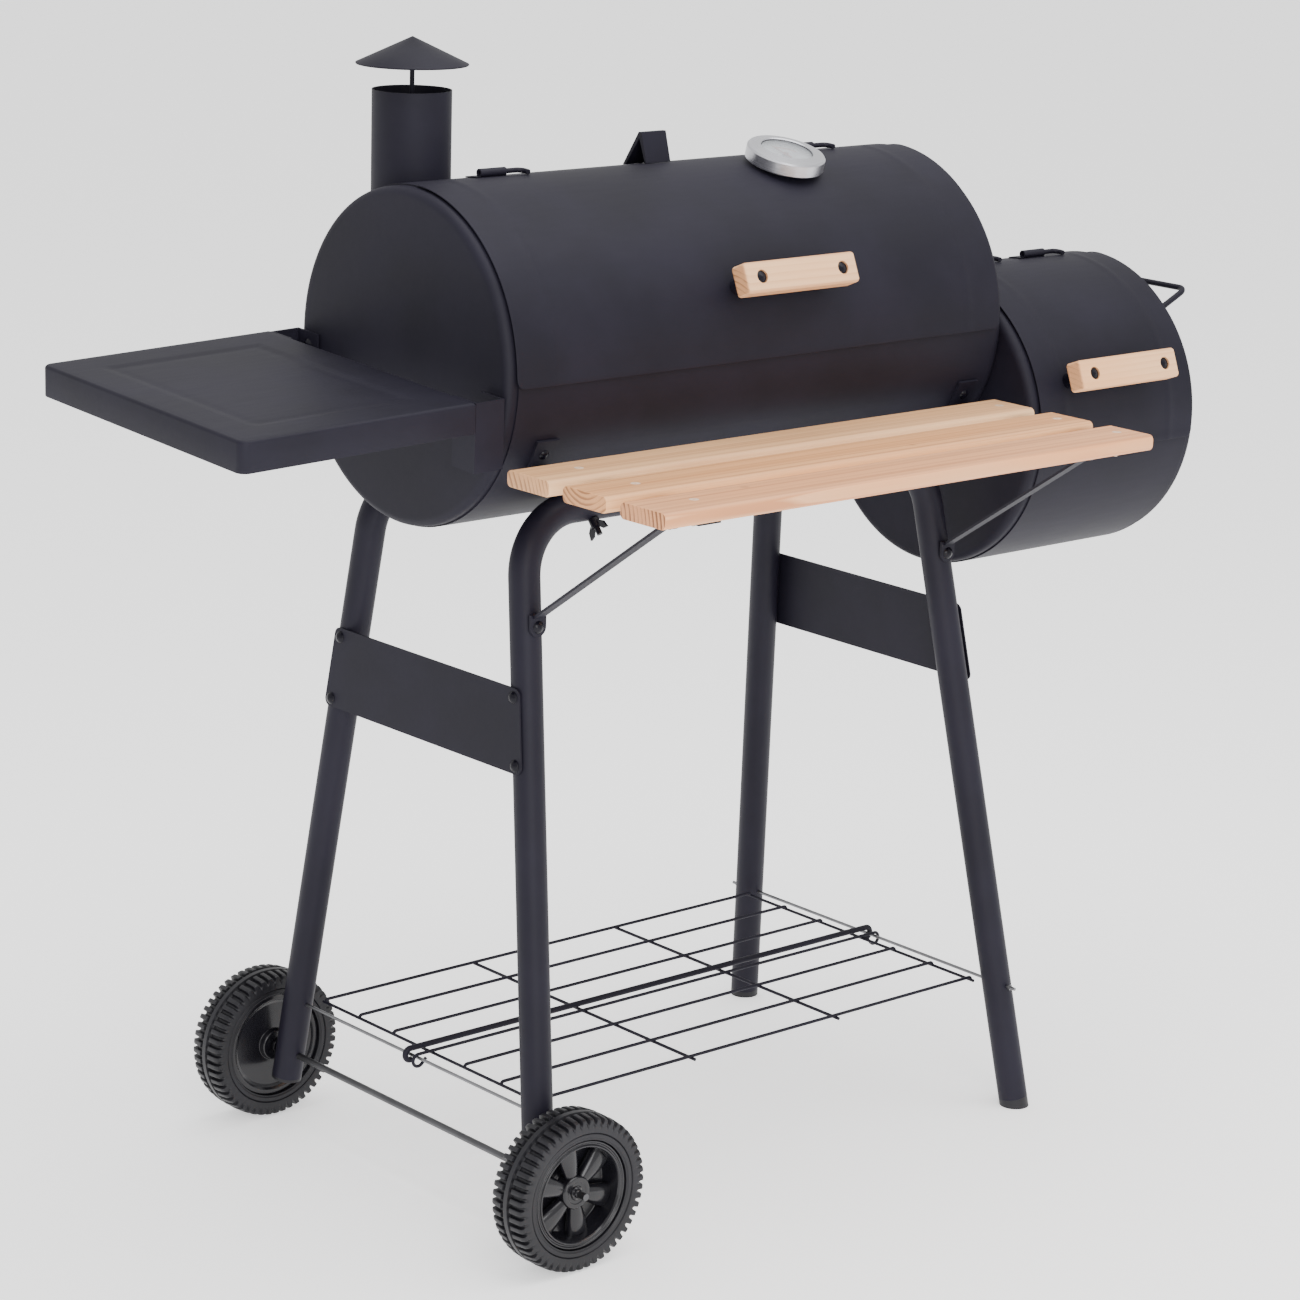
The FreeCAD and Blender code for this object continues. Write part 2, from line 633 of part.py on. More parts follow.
def table_brackets():
    """Channels folded from sheet: a flange on the pan, a web across the gap, a flange on the wall."""
    brackets = []
    for y, turn in bracket_places():
        x0, x1 = TABLE_X[1] + GAP, -0.3
        sheet = 2.0
        low = TABLE_Z - BRACKET_HEIGHT
        far = y + turn * BRACKET_WIDTH
        inner = y + turn * sheet
        web = box(x0, x1, min(y, inner), max(y, inner), low, TABLE_Z - 1)
        pan_side = box(x0, x0 + sheet, min(y, far), max(y, far), low, TABLE_Z - 1)
        wall_side = box(x1 - sheet, x1, min(y, far), max(y, far), low, TABLE_Z - 1)
        bracket = fuse([web, pan_side, wall_side])
        brackets.append(tilted(drilled(bracket, flat_table_bolts(0.2))))
    return brackets


# ---- front shelf ---------------------------------------------------------------------------------
def slat_back_edge(index):
    return SHELF_BACK - index * (SLAT[0] + SLAT_GAP)


def shelf_screw_points():
    return [vec(x, slat_back_edge(index) - SLAT[0] / 2, SHELF_Z)
            for index in range(3) for x in SHELF_SCREW_X]


def shelf_screw(point, grow=0.0):
    """A countersunk screw, flush with the slat, long enough for a nut under the arm."""
    shank = 2.0 + grow
    head = 4.4 + grow
    shape = spin([(0, -23), (shank, -23), (shank, -2.4), (head, -0.4), (head, 0), (0, 0)])
    return place(shape, point, vec(0, 0, 1))


def slat(index):
    back = slat_back_edge(index)
    board = box(SHELF_X[0], SHELF_X[1], back - SLAT[0], back, SHELF_Z - SLAT[1], SHELF_Z)
    long_edges = [edge for edge in board.Edges if abs(edge.tangentAt(0).x) > 0.9]
    board = board.makeFillet(5.0, long_edges)
    return drilled(board, [shelf_screw(point, 0.15) for point in shelf_screw_points()])


def shelf_screws():
    screws = [shelf_screw(point) for point in shelf_screw_points()]
    low = SHELF_Z - SLAT[1] - ARM_THICKNESS - 0.3
    nuts = [nut(vec(point.x, point.y, low), vec(0, 0, -1), 2.0) for point in shelf_screw_points()]
    return screws + nuts


def arm_tab_point(x):
    """The middle of an arm's tab, on the barrel's front just above the shelf."""
    return polar(0, BARREL_Z, SHELL_R + SHEET + GAP, 206.5, x)


def arm_screws(grow=0.0):
    out = polar(0, 0, 1, 206.5)
    return [bolt(arm_tab_point(x) + out * (ARM_THICKNESS + 0.1), out, 2.5, 9.0, grow=grow)
            for x in SHELF_SCREW_X]


def shelf_arms():
    """Flat bars under the slats, folded up at the back to a tab that lies on the barrel."""
    arms = []
    out = polar(0, 0, 1, 206.5)
    along = vec(0, -out.z, out.y) * -1
    for x in SHELF_SCREW_X:
        x0 = x - ARM_WIDTH / 2
        top = SHELF_Z - SLAT[1] - 0.2
        low = top - ARM_THICKNESS
        middle = vec(x0, 0, 0) + arm_tab_point(0)
        upper = middle + along * 15
        reach = (low - middle.z) / along.z
        elbow = middle + along * reach
        outer = elbow + out * (ARM_THICKNESS / abs(out.y)) * 1.0
        outer = vec(x0, outer.y - (top - low) * 0.5, top)
        wire = outline(upper, upper + out * ARM_THICKNESS, outer, vec(x0, slat_back_edge(2) - 50, top),
                       vec(x0, slat_back_edge(2) - 50, low), elbow)
        arm = Part.Face(wire).extrude(vec(ARM_WIDTH, 0, 0))
        holes = [shelf_screw(point, 0.2) for point in shelf_screw_points()]
        arms.append(drilled(arm, arm_screws(0.2) + holes))
    return arms


def strut_ends(side):
    """Lower end on the front leg's front, and upper end under the front slat."""
    top_x = LEFT_TOP_X if side == 0 else RIGHT_TOP_X
    lean = -LEFT_LEAN if side == 0 else RIGHT_LEAN
    drop = FRAME_TOP - STRUT_Z
    leg = vec(top_x + lean * drop, -(FRAME_TOP_Y + SPLAY * drop), STRUT_Z)
    low = leg + vec(0, -TUBE_R - 1.6, 0)
    high = vec(low.x - 30, slat_back_edge(2) - 34, SHELF_Z - SLAT[1] - 4.0)
    return low, high


def shelf_struts():
    """Diagonal flat bars with a round tab at each end, folded flat against the leg and the slat."""
    struts = []
    for side in (0, 1):
        low, high = strut_ends(side)
        lower_tab = cylinder(low, low - vec(0, 2.4, 0), 9.0)
        lower_tab = fuse([lower_tab, box(low.x - 9, low.x + 9, low.y - 2.4, low.y, low.z, low.z + 12)])
        upper_tab = cylinder(high, high + vec(0, 0, 2.4), 8.0)
        start = low + vec(0, -1.2, 9)
        end = high + vec(0, 3, 1.2)
        run = end - start
        across = run.cross(vec(1, 0, 0)).normalize()
        wide = vec(1, 0, 0) * 6.0
        thin = across * 1.2
        corners = [start - wide - thin, start + wide - thin, start + wide + thin, start - wide + thin]
        strap = Part.Face(outline(*corners)).extrude(run)
        strut = fuse([lower_tab, strap, upper_tab])
        holes = [strut_bolt(side, 0.2), strut_screw(side, 0.2)]
        struts.append(drilled(strut, holes))
    return struts


def strut_bolt(side, grow=0.0):
    low, _ = strut_ends(side)
    return bolt(low - vec(0, 2.5, 0), vec(0, -1, 0), 3.0, 6.0, grow=grow)


def strut_screw(side, grow=0.0):
    _, high = strut_ends(side)
    return bolt(high - vec(0, 0, 0.1), vec(0, 0, -1), 2.0, 12.0, grow=grow)


# ---- leg frames ----------------------------------------------------------------------------------
def leg_point(side, depth, z):
    """The middle of a leg at a height: side 0 is left and 1 right, depth -1 is front and 1 back."""
    drop = FRAME_TOP - z
    x = LEFT_TOP_X - LEFT_LEAN * drop if side == 0 else RIGHT_TOP_X + RIGHT_LEAN * drop
    return vec(x, depth * (FRAME_TOP_Y + SPLAY * drop), z)


def leg_ends(depth):
    return leg_point(0, depth, LEFT_FOOT_Z), leg_point(1, depth, 9.0)


def leg_frame(depth):
    left, right = leg_ends(depth)
    points = [left, leg_point(0, depth, FRAME_TOP), leg_point(1, depth, FRAME_TOP), right]
    path = bent_path(points, BEND_R)
    tube = bar(path, TUBE_R).cut(bar(path, TUBE_R - TUBE_WALL))
    tools = [axle_line(4.6)] + [rack_rod_line(side, ROD_R + 1.2) for side in (0, 1)] + wing_bolts(0.2)
    tools += plate_screws(0.2)
    if depth < 0:
        tools += [strut_bolt(side, 0.2) for side in (0, 1)]
    return drilled(tube, tools)


def leg_caps():
    """Moulded plugs with a collar, flat on the floor under the right legs."""
    caps = []
    for depth in (-1, 1):
        for side, end in enumerate(leg_ends(depth)):
            upward = (leg_point(side, depth, FRAME_TOP) - end).normalize()
            plug = cylinder(end - upward * 3, end + upward * 16, TUBE_R - TUBE_WALL - 0.15)
            collar = cylinder(end - upward * (3 if side == 0 else 12), end - upward * 0.1, TUBE_R)
            cap = fuse([plug, collar])
            if side == 1:
                floor = box(end.x - 60, end.x + 60, end.y - 60, end.y + 60, -60, 0)
                cap = cap.cut(floor)
            caps.append(cap)
    return caps


def cross_plate(side):
    """A flat plate on the outer faces of one front and one back leg, following their lean."""
    away = -1 if side == 0 else 1
    low, high = PLATE_Z
    slope = LEFT_LEAN if side == 0 else -RIGHT_LEAN
    offset = away * (TUBE_R * math.sqrt(1 + slope ** 2) + GAP)
    corners = []
    for z, depth in ((low, -1), (low, 1), (high, 1), (high, -1)):
        point = leg_point(side, depth, z)
        corners.append(vec(point.x + offset, point.y + depth * 9, z))
    plate = Part.Face(outline(*corners)).extrude(vec(away * 1.5, 0, 0))
    short = [edge for edge in plate.Edges if edge.Length < 1.6]
    plate = plate.makeFillet(7.0, short)
    return drilled(plate, plate_screws(0.2))


def plate_screws(grow=0.0):
    screws = []
    for side, away in ((0, -1), (1, 1)):
        for depth in (-1, 1):
            for z in PLATE_SCREW_Z:
                point = leg_point(side, depth, z) + vec(away * (TUBE_R + GAP + 1.75), 0, 0)
                screws.append(bolt(point, vec(away, 0, 0), 3.0, 8.0, grow=grow))
    return screws


def leg_screws():
    return plate_screws() + [strut_bolt(side) for side in (0, 1)] + [strut_screw(side) for side in (0, 1)]


def wing_places():
    """A point on the barrel's axis side of each frame bolt, and the direction out through the tube."""
    places = []
    for x in (132.0, 482.0):
        for depth in (-1, 1):
            out = vec(0, depth * FRAME_TOP_Y, FRAME_TOP - BARREL_Z).normalize()
            places.append((vec(x, depth * FRAME_TOP_Y, FRAME_TOP), out))
    return places


def wing_bolts(grow=0.0):
    """Bolts from inside the barrel through its sheet and the leg frame's top run."""
    bolts = []
    for middle, out in wing_places():
        inside = middle - out * (TUBE_R + SHEET + 0.8)
        bolts.append(bolt(inside, out * -1, 2.7, 2 * TUBE_R + 18, grow=grow))
    return bolts


def wing_nuts():
    """A round boss with two ears."""
    nuts = []
    for middle, out in wing_places():
        boss = Part.makeCylinder(5.0, 8.0)
        ears = [outline(vec(0, side * 2, 1), vec(0, side * 12, 8), vec(0, side * 14, 15), vec(0, side * 9, 14),
                        vec(0, side * 2, 7)) for side in (-1, 1)]
        ears = [Part.Face(ear).extrude(vec(2.4, 0, 0)) for ear in ears]
        for ear in ears:
            ear.translate(vec(-1.2, 0, 0))
        body = fuse([boss] + ears).cut(Part.makeCylinder(2.8, 30, vec(0, 0, -5)))
        body.rotate(vec(0, 0, 0), vec(0, 0, 1), 35)
        nuts.append(place(body, middle + out * (TUBE_R + 0.3), out))
    return nuts


# ---- axle and wheels -----------------------------------------------------------------------------
def axle_line(radius):
    reach = WHEEL_Y + WHEEL_WIDTH / 2 + 4
    return cylinder(vec(AXLE_X, -reach, AXLE_Z), vec(AXLE_X, reach, AXLE_Z), radius)


def axle_caps():
    """Push-on caps over the axle's ends, and a collar inside each wheel."""
    caps = []
    for depth in (-1, 1):
        face = WHEEL_Y + WHEEL_WIDTH / 2 - 4
        start = vec(AXLE_X, depth * (face + 0.4), AXLE_Z)
        cap = cylinder(start, start + vec(0, depth * 9, 0), 7.0)
        caps.append(cap.cut(axle_line(AXLE_R + 0.05)))
        ring = vec(AXLE_X, depth * (WHEEL_Y - WHEEL_WIDTH / 2 - 0.4), AXLE_Z)
        collar = cylinder(ring, ring - vec(0, depth * 3, 0), 7.0)
        caps.append(collar.cut(axle_line(AXLE_R + 0.05)))
    return caps


def on_axle(shape, depth):
    return place(shape, vec(AXLE_X, depth * WHEEL_Y, AXLE_Z), vec(0, depth, 0))


def tyre(depth):
    """A moulded ring with rounded shoulders and a hollow towards the hub."""
    half = WHEEL_WIDTH / 2
    outer, inner = WHEEL_R, TYRE_INNER_R
    return on_axle(spin([(inner, -half + 5), (inner + 5, -half + 1), (outer - 7, -half), (outer, -half + 5),
                         (outer, half - 5), (outer - 7, half), (inner + 5, half - 1), (inner, half - 5)]),
                   depth)


def hub(depth):
    """A rim, a web with six spokes, and a boss right through."""
    half = WHEEL_WIDTH / 2
    rim = spin([(TYRE_INNER_R - 6, -half + 4), (TYRE_INNER_R - 0.1, -half + 4),
                (TYRE_INNER_R - 0.1, half - 4), (TYRE_INNER_R - 6, half - 4)])
    boss = Part.makeCylinder(HUB_R, WHEEL_WIDTH - 4, vec(0, 0, -half))
    pieces = [rim, boss]
    for index in range(6):
        spoke = box(HUB_R - 3, TYRE_INNER_R - 4, -7, 7, -6, 7)
        spoke.rotate(vec(0, 0, 0), vec(0, 0, 1), 60 * index)
        pieces.append(spoke)
    bore = Part.makeCylinder(AXLE_R + FIT, 80, vec(0, 0, -40))
    return on_axle(fuse(pieces).cut(bore), depth)


# ---- bottom rack ---------------------------------------------------------------------------------
def rack_rod_line(side, radius):
    front = leg_point(side, -1, ROD_Z) - vec(0, TUBE_R + 11, 0)
    return cylinder(front, vec(front.x, -front.y, front.z), radius)


def rack_cross_rods():
    return [rack_rod_line(side, ROD_R) for side in (0, 1)]


def rack_rod_nuts():
    nuts = []
    for side in (0, 1):
        for depth in (-1, 1):
            face = leg_point(side, depth, ROD_Z)
            outside = vec(face.x, face.y + depth * (TUBE_R + 2.6), ROD_Z)
            nuts.append(nut(outside, vec(0, depth, 0), ROD_R))
    return nuts


def rack_hook(wire_x, rod_x, y, z, radius):
    """The run of a wire from wire_x over a cross rod, back under it, and up into a free end."""
    side = math.copysign(1.0, rod_x - wire_x)
    centre_z = z - radius

    def ring(turn):
        angle = math.radians(turn)
        return vec(rod_x + side * radius * math.sin(angle), y, centre_z + radius * math.cos(angle))

    tail = ring(225) + vec(-side * 5, 0, 5)
    return [Part.makeLine(vec(wire_x, y, z), ring(0)), Part.Arc(ring(0), ring(112.5), ring(225)).toShape(),
            Part.makeLine(ring(225), tail)]


def rack_grid():
    """Seven long wires on four cross wires. The long wires turn down onto the end cross wires, and the middle
    one runs on to hook round both cross rods."""
    z = ROD_Z + ROD_R + WIRE_R + GAP
    rods = [leg_point(side, -1, ROD_Z).x for side in (0, 1)]
    x0, x1 = RACK_X
    drop = 2 * WIRE_R
    wires = []
    for index in range(7):
        if index == 3:
            for rod_x in rods:
                wires.append(bar(Part.Wire(rack_hook((x0 + x1) / 2, rod_x, -8.0, z, 6.0)), WIRE_R))
            continue
        y = (index - 3) * RACK_PITCH
        points = [vec(x0, y, z - drop), vec(x0, y, z), vec(x1, y, z), vec(x1, y, z - drop)]
        wires.append(bar(bent_path(points, 3.0), WIRE_R))
    for index in range(4):
        x = x0 + (x1 - x0) * index / 3
        low = z - drop + (0.5 if index in (1, 2) else 0.0)
        end = RACK_HALF_WIDTH + 4
        wires.append(cylinder(vec(x, -end, low), vec(x, end, low), WIRE_R - (0.1 if index in (0, 3) else 0.0)))
    return fuse(wires)


def rack_centre_rod():
    """A thick rod whose ends curl round the two cross rods."""
    left, right = leg_point(0, -1, ROD_Z).x, leg_point(1, -1, ROD_Z).x
    curl = ROD_R + CENTRE_ROD_R + 4 * GAP
    y = 4.5
    low = ROD_Z - curl
    left_hook = [Part.Arc(vec(left + 2, y, low + 0.33), vec(left - curl, y, ROD_Z),
                          vec(left, y, ROD_Z + curl)).toShape()]
    top = [Part.makeLine(vec(left, y, ROD_Z + curl), vec(right, y, ROD_Z + curl))]
    right_hook = [Part.Arc(vec(right, y, ROD_Z + curl), vec(right + curl, y, ROD_Z),
                           vec(right - 2, y, low + 0.33)).toShape()]
    return bar(Part.Wire(left_hook + top + right_hook), CENTRE_ROD_R)


# ---- grates --------------------------------------------------------------------------------------
def grate(x0, x1, y0, y1, z, pitch):
    """A bar frame with wires across it, and one bar under their middle."""
    r = GRATE_BAR_R
    sides = [cylinder(vec(x, y0 - r - 1, z), vec(x, y1 + r + 1, z), r) for x in (x0, x1)]
    rails = [cylinder(vec(x0, y, z), vec(x1, y, z), r - 0.2) for y in (y0, (y0 + y1) / 2, y1)]
    count = int((x1 - x0) / pitch)
    step = (x1 - x0) / (count + 1)
    high = z + r + GRATE_WIRE_R - 0.5
    wires = [cylinder(vec(x0 + step * n, y0 - 1, high), vec(x0 + step * n, y1 + 1, high), GRATE_WIRE_R)
             for n in range(1, count + 1)]
    return fuse(sides + rails + wires)


def cooking_grates():
    middle = BARREL_LENGTH / 2
    return [grate(32, middle - 4, -138, 138, COOKING_Z, 20), grate(middle + 4, BARREL_LENGTH - 32, -138, 138,
                                                                   COOKING_Z, 20)]


def charcoal_grate():
    return grate(36, BARREL_LENGTH - 36, -108, 108, CHARCOAL_Z, 28)


def firebox_cooking_grate():
    return grate(FIREBOX_X + 30, FIREBOX_END - 30, FIREBOX_Y - 132, FIREBOX_Y + 132, FIREBOX_COOKING_Z, 20)


def firebox_charcoal_grate():
    return grate(FIREBOX_X + 30, FIREBOX_END - 30, FIREBOX_Y - 102, FIREBOX_Y + 102, FIREBOX_CHARCOAL_Z, 20)


def rest(x, side, axis, radius, z, edge):
    """A small flat tab, welded edge-on to the body sheet under a grate's corner."""
    top = z - GRATE_BAR_R - 0.1
    inner, outer = axis[0] + side * (edge - 8), axis[0] + side * radius
    tab = box(x - 9, x + 9, min(inner, outer), max(inner, outer), top - 2, top)
    return tab.common(cylinder(vec(x - 20, *axis), vec(x + 20, *axis), radius - 0.1))


def grate_rests():
    barrel, firebox = (0, BARREL_Z), (FIREBOX_Y, FIREBOX_Z)
    middle = BARREL_LENGTH / 2
    tabs = []
    for side in (-1, 1):
        for x in (50, middle - 22, middle + 22, BARREL_LENGTH - 50):
            tabs.append(rest(x, side, barrel, SHELL_R, COOKING_Z, 138))
        for x in (60, middle, BARREL_LENGTH - 60):
            tabs.append(rest(x, side, barrel, SHELL_R, CHARCOAL_Z, 108))
        for x in (FIREBOX_X + 50, FIREBOX_END - 50):
            tabs.append(rest(x, side, firebox, FIREBOX_SHELL_R, FIREBOX_COOKING_Z, 132))
            tabs.append(rest(x, side, firebox, FIREBOX_SHELL_R, FIREBOX_CHARCOAL_Z, 102))
    return tabs


def body_bolts():
    """Bolts of the table brackets and of the joint between barrel and firebox, their nuts, the vent's rivet."""
    bolts = [tilted(shape) for shape in flat_table_bolts()] + joining_bolts() + [vent_rivet()]
    nuts = [nut(point + vec(FIREBOX_X - BARREL_LENGTH + SHEET + 0.1, 0, 0), vec(1, 0, 0), 3.0)
            for point in joining_points()]
    return bolts + nuts


# ---- the whole smoker ----------------------------------------------------------------------------
def all_parts():
    """Node name to one solid, or to a list of like solids."""
    main, small = lid_handle_frame(), firebox_handle_frame()
    parts = {
        "barrel_shell": barrel_shell(),
        "barrel_end_left": barrel_end_left(),
        "barrel_end_right": barrel_end_right(),
        "lid_hinge_tubes": lid_hinge_tubes(),
        "lid_stop": lid_stop(),
        "cooking_grates": cooking_grates(),
        "charcoal_grate": charcoal_grate(),
        "grate_rests": grate_rests(),
        "chimney_pipe": chimney_pipe(),
        "chimney_crossbar": chimney_crossbar(),
        "chimney_cap": chimney_cap(),
        "firebox_shell": firebox_shell(),
        "firebox_end_left": firebox_end_left(),
        "firebox_end_right": firebox_end_right(),
        "firebox_hinge_tubes": firebox_hinge_tubes(),
        "firebox_cooking_grate": firebox_cooking_grate(),
        "firebox_charcoal_grate": firebox_charcoal_grate(),
        "vent_shutter": vent_shutter(),
        "lifting_handle": lifting_handle(),
        "body_bolts": body_bolts(),
        "side_table": side_table(),
        "table_brackets": table_brackets(),
        "shelf_slat_back": slat(0),
        "shelf_slat_middle": slat(1),
        "shelf_slat_front": drilled(slat(2), [strut_screw(side, 0.2) for side in (0, 1)]),
        "shelf_arms": shelf_arms(),
        "shelf_struts": shelf_struts(),
        "shelf_screws": shelf_screws(),
        "arm_screws": arm_screws(),
        "front_leg_frame": leg_frame(-1),
        "rear_leg_frame": leg_frame(1),
        "leg_caps": leg_caps(),
        "left_cross_plate": cross_plate(0),
        "right_cross_plate": cross_plate(1),
        "leg_screws": leg_screws(),
        "wing_bolts": wing_bolts() + wing_nuts(),
        "axle": axle_line(AXLE_R),
        "axle_caps": axle_caps(),
        "front_tyre": tyre(-1),
        "front_hub": hub(-1),
        "rear_tyre": tyre(1),
        "rear_hub": hub(1),
        "rack_grid": rack_grid(),
        "rack_centre_rod": rack_centre_rod(),
        "rack_cross_rods": rack_cross_rods(),
        "rack_rod_nuts": rack_rod_nuts(),
        "main_lid": main_lid(),
        "lid_hinge_rods": lid_hinge_rods(),
        "lid_handle": wood_block(main, sunk_holes(main)),
        "lid_handle_standoffs": standoffs(main),
        "lid_handle_bolts": bolts_and_nuts(main),
        "thermometer_case": thermometer_case(),
        "thermometer_dial": thermometer_dial(),
        "thermometer_glass": thermometer_glass(),
        "thermometer_stem": thermometer_stem(),
        "thermometer_needle": thermometer_needle(),
        "firebox_lid": firebox_lid(),
        "firebox_hinge_rods": firebox_hinge_rods(),
        "firebox_handle": wood_block(small, sunk_holes(small)),
        "firebox_handle_fixings": standoffs(small) + bolts_and_nuts(small),
    }
    return {name: Part.makeCompound(part) if isinstance(part, list) else part
            for name, part in parts.items()}


def middle_of(parts):
    """The middle of the whole box in X and Y."""
    whole = Part.makeCompound(list(parts.values())).optimalBoundingBox(False, False)
    return vec((whole.XMin + whole.XMax) / 2, (whole.YMin + whole.YMax) / 2, 0)


def main():
    os.makedirs("parts", exist_ok=True)
    parts = all_parts()
    middle = middle_of(parts)
    print("origin at", middle)
    for name, shape in parts.items():
        shape.translate(middle * -1)
        shape.exportStep("parts/" + name + ".step")


if __name__ == "__main__":
    main()
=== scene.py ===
"""Offset smoker: the finished look of a barrel cooker with a side firebox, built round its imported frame.

Lengths in the shape functions are millimetres, in a frame whose X starts at the barrel's left end wall, whose
Y starts on the barrel's axis and runs to the back, and whose Z starts on the floor.
"""
import json
import math

import bmesh
import bpy
import numpy as np
from mathutils import Matrix, Vector


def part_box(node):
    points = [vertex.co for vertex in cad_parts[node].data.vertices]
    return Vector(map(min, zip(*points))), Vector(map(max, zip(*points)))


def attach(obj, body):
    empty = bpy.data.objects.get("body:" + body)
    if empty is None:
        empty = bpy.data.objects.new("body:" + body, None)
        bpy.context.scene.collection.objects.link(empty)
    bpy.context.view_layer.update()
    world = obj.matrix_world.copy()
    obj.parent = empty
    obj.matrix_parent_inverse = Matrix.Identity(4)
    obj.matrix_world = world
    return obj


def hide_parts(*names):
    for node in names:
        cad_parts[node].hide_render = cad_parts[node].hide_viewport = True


bl_info = {
    "name": "Offset smoker",
    "version": (1, 0, 0),
    "blender": (4, 5, 0),
    "location": "View3D > Sidebar > Smoker",
    "description": "Builds the finished surfaces and finishes of an offset smoker round its packed frame",
    "category": "Object",
}

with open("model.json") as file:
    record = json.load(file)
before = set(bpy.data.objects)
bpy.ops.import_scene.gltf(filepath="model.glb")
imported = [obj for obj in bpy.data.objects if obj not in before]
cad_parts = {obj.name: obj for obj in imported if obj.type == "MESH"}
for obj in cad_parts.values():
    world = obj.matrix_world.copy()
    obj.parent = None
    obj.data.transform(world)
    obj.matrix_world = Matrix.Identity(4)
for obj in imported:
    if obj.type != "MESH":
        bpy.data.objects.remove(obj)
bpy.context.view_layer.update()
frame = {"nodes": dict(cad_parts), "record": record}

# ---- sizes shared with the frame, in millimetres ----
MM = 0.001
BARREL_LOW, BARREL_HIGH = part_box("barrel_end_left")
ORIGIN = np.array([BARREL_LOW.x, (BARREL_LOW.y + BARREL_HIGH.y) / 2, 0.0])
BARREL_Z = 798.0
BARREL_LENGTH = 614.0
FIREBOX_Y, FIREBOX_Z = -54.4, 687.0
FIREBOX_X, FIREBOX_END = 614.4, 849.9
BARREL_AXIS = (0.0, BARREL_Z)
FIREBOX_AXIS = (FIREBOX_Y, FIREBOX_Z)
SHEET = 1.2
RIM_ROUND, RIM_DEPTH = 8.0, 24.0
FRAME_TOP, FRAME_TOP_Y, SPLAY = 667.0, 107.0, 0.146
LEFT_TOP_X, RIGHT_TOP_X = 57.6, 555.7
LEFT_LEAN, RIGHT_LEAN = 0.0618, 0.1197
TUBE_R, BEND_R = 14.6, 60.0
AXLE_Z, WHEEL_Y = 73.8, 236.4
AXLE_X = LEFT_TOP_X - LEFT_LEAN * (FRAME_TOP - AXLE_Z)
TABLE_PIVOT_Z, TABLE_Z = 731.5, 795.5
SHELF_Z, SLAT_BACK, SLAT_STEP = 725.0, -160.0, 76.0
SLAT = (600.0, 58.0, 15.0)
WALL_R, LID_R, SMALL_LID_R, SMALL_SHELL_R = 153.0, 154.9, 148.1, 146.4
LID_BACK, LID_FRONT, SMALL_LID_FRONT = 91.8, 182.0, 187.0
GAUGE_X, GAUGE_ANGLE, GAUGE_R, GAUGE_HEIGHT, GAUGE_BASE = 418.0, 106.0, 38.0, 13.0, 3.0
DIAL_WIDTH = 60.0
CHIMNEY_X, CHIMNEY_Y = 73.0, 83.5
CAP_RIM, CAP_TOP, CAP_R = 1048.5, 1073.0, 52.0
SQUARE = np.array([[-1, -1], [1, -1], [1, 1], [-1, 1]])
UP = (0, 0, 1)


# ---- settings a user would change ----
def colour_setting(name, description, default):
    return bpy.props.FloatVectorProperty(name=name, description=description, subtype="COLOR", default=default,
                                         min=0, max=1)


def length_setting(name, description, default, least, most):
    return bpy.props.FloatProperty(name=name, description=description, subtype="DISTANCE", unit="LENGTH",
                                   default=default, min=least, max=most)


def count_setting(name, description, default, least, most):
    return bpy.props.IntProperty(name=name, description=description, default=default, min=least, max=most)


def power_setting(name, description, default):
    return bpy.props.FloatProperty(name=name, description=description, subtype="POWER", unit="POWER",
                                   default=default, min=0)


class PaintSettings(bpy.types.PropertyGroup):
    """The heat-resistant black paint on sheet, tube and rod."""
    dark: colour_setting("Dark tone", "Paint colour in its darkest patches", (0.0074, 0.0065, 0.0122))
    light: colour_setting("Light tone", "Paint colour in its lightest patches", (0.0112, 0.0099, 0.0180))
    roughness: bpy.props.FloatProperty(name="Roughness", description="Sheen of the paint", subtype="FACTOR",
                                       default=0.58, min=0, max=1)


class TimberSettings(bpy.types.PropertyGroup):
    """The pale softwood of slats and handles."""
    early: colour_setting("Early wood", "Colour between the growth rings", (0.82, 0.52, 0.29))
    late: colour_setting("Late wood", "Colour of the growth rings", (0.56, 0.27, 0.125))
    ring: length_setting("Ring spacing", "Distance between two growth rings", 0.0050, 0.001, 0.02)


class WheelSettings(bpy.types.PropertyGroup):
    """The moulded wheels."""
    lugs: count_setting("Lugs", "Lugs round each row of the tread", 52, 12, 90)
    lug_depth: length_setting("Lug depth", "How far the lugs stand out", 0.0042, 0, 0.008)
    spokes: count_setting("Spokes", "Ribs in each hub", 6, 3, 12)


class StageSettings(bpy.types.PropertyGroup):
    """Floor, lights and camera."""
    floor: colour_setting("Floor", "Colour of the floor", (0.93, 0.93, 0.93))
    key_power: power_setting("Key light", "Power of the large overhead light", 95.0)
    fill_power: power_setting("Fill light", "Power of the light from the front", 75.0)
    lens: bpy.props.FloatProperty(name="Focal length", description="Of the camera", subtype="DISTANCE_CAMERA",
                                  unit="CAMERA", default=104.84, min=10)


# ---- shapes ----
def unit(vector):
    return vector / np.linalg.norm(vector)


def full_turn(count):
    return np.linspace(0, 2 * np.pi, count, endpoint=False)


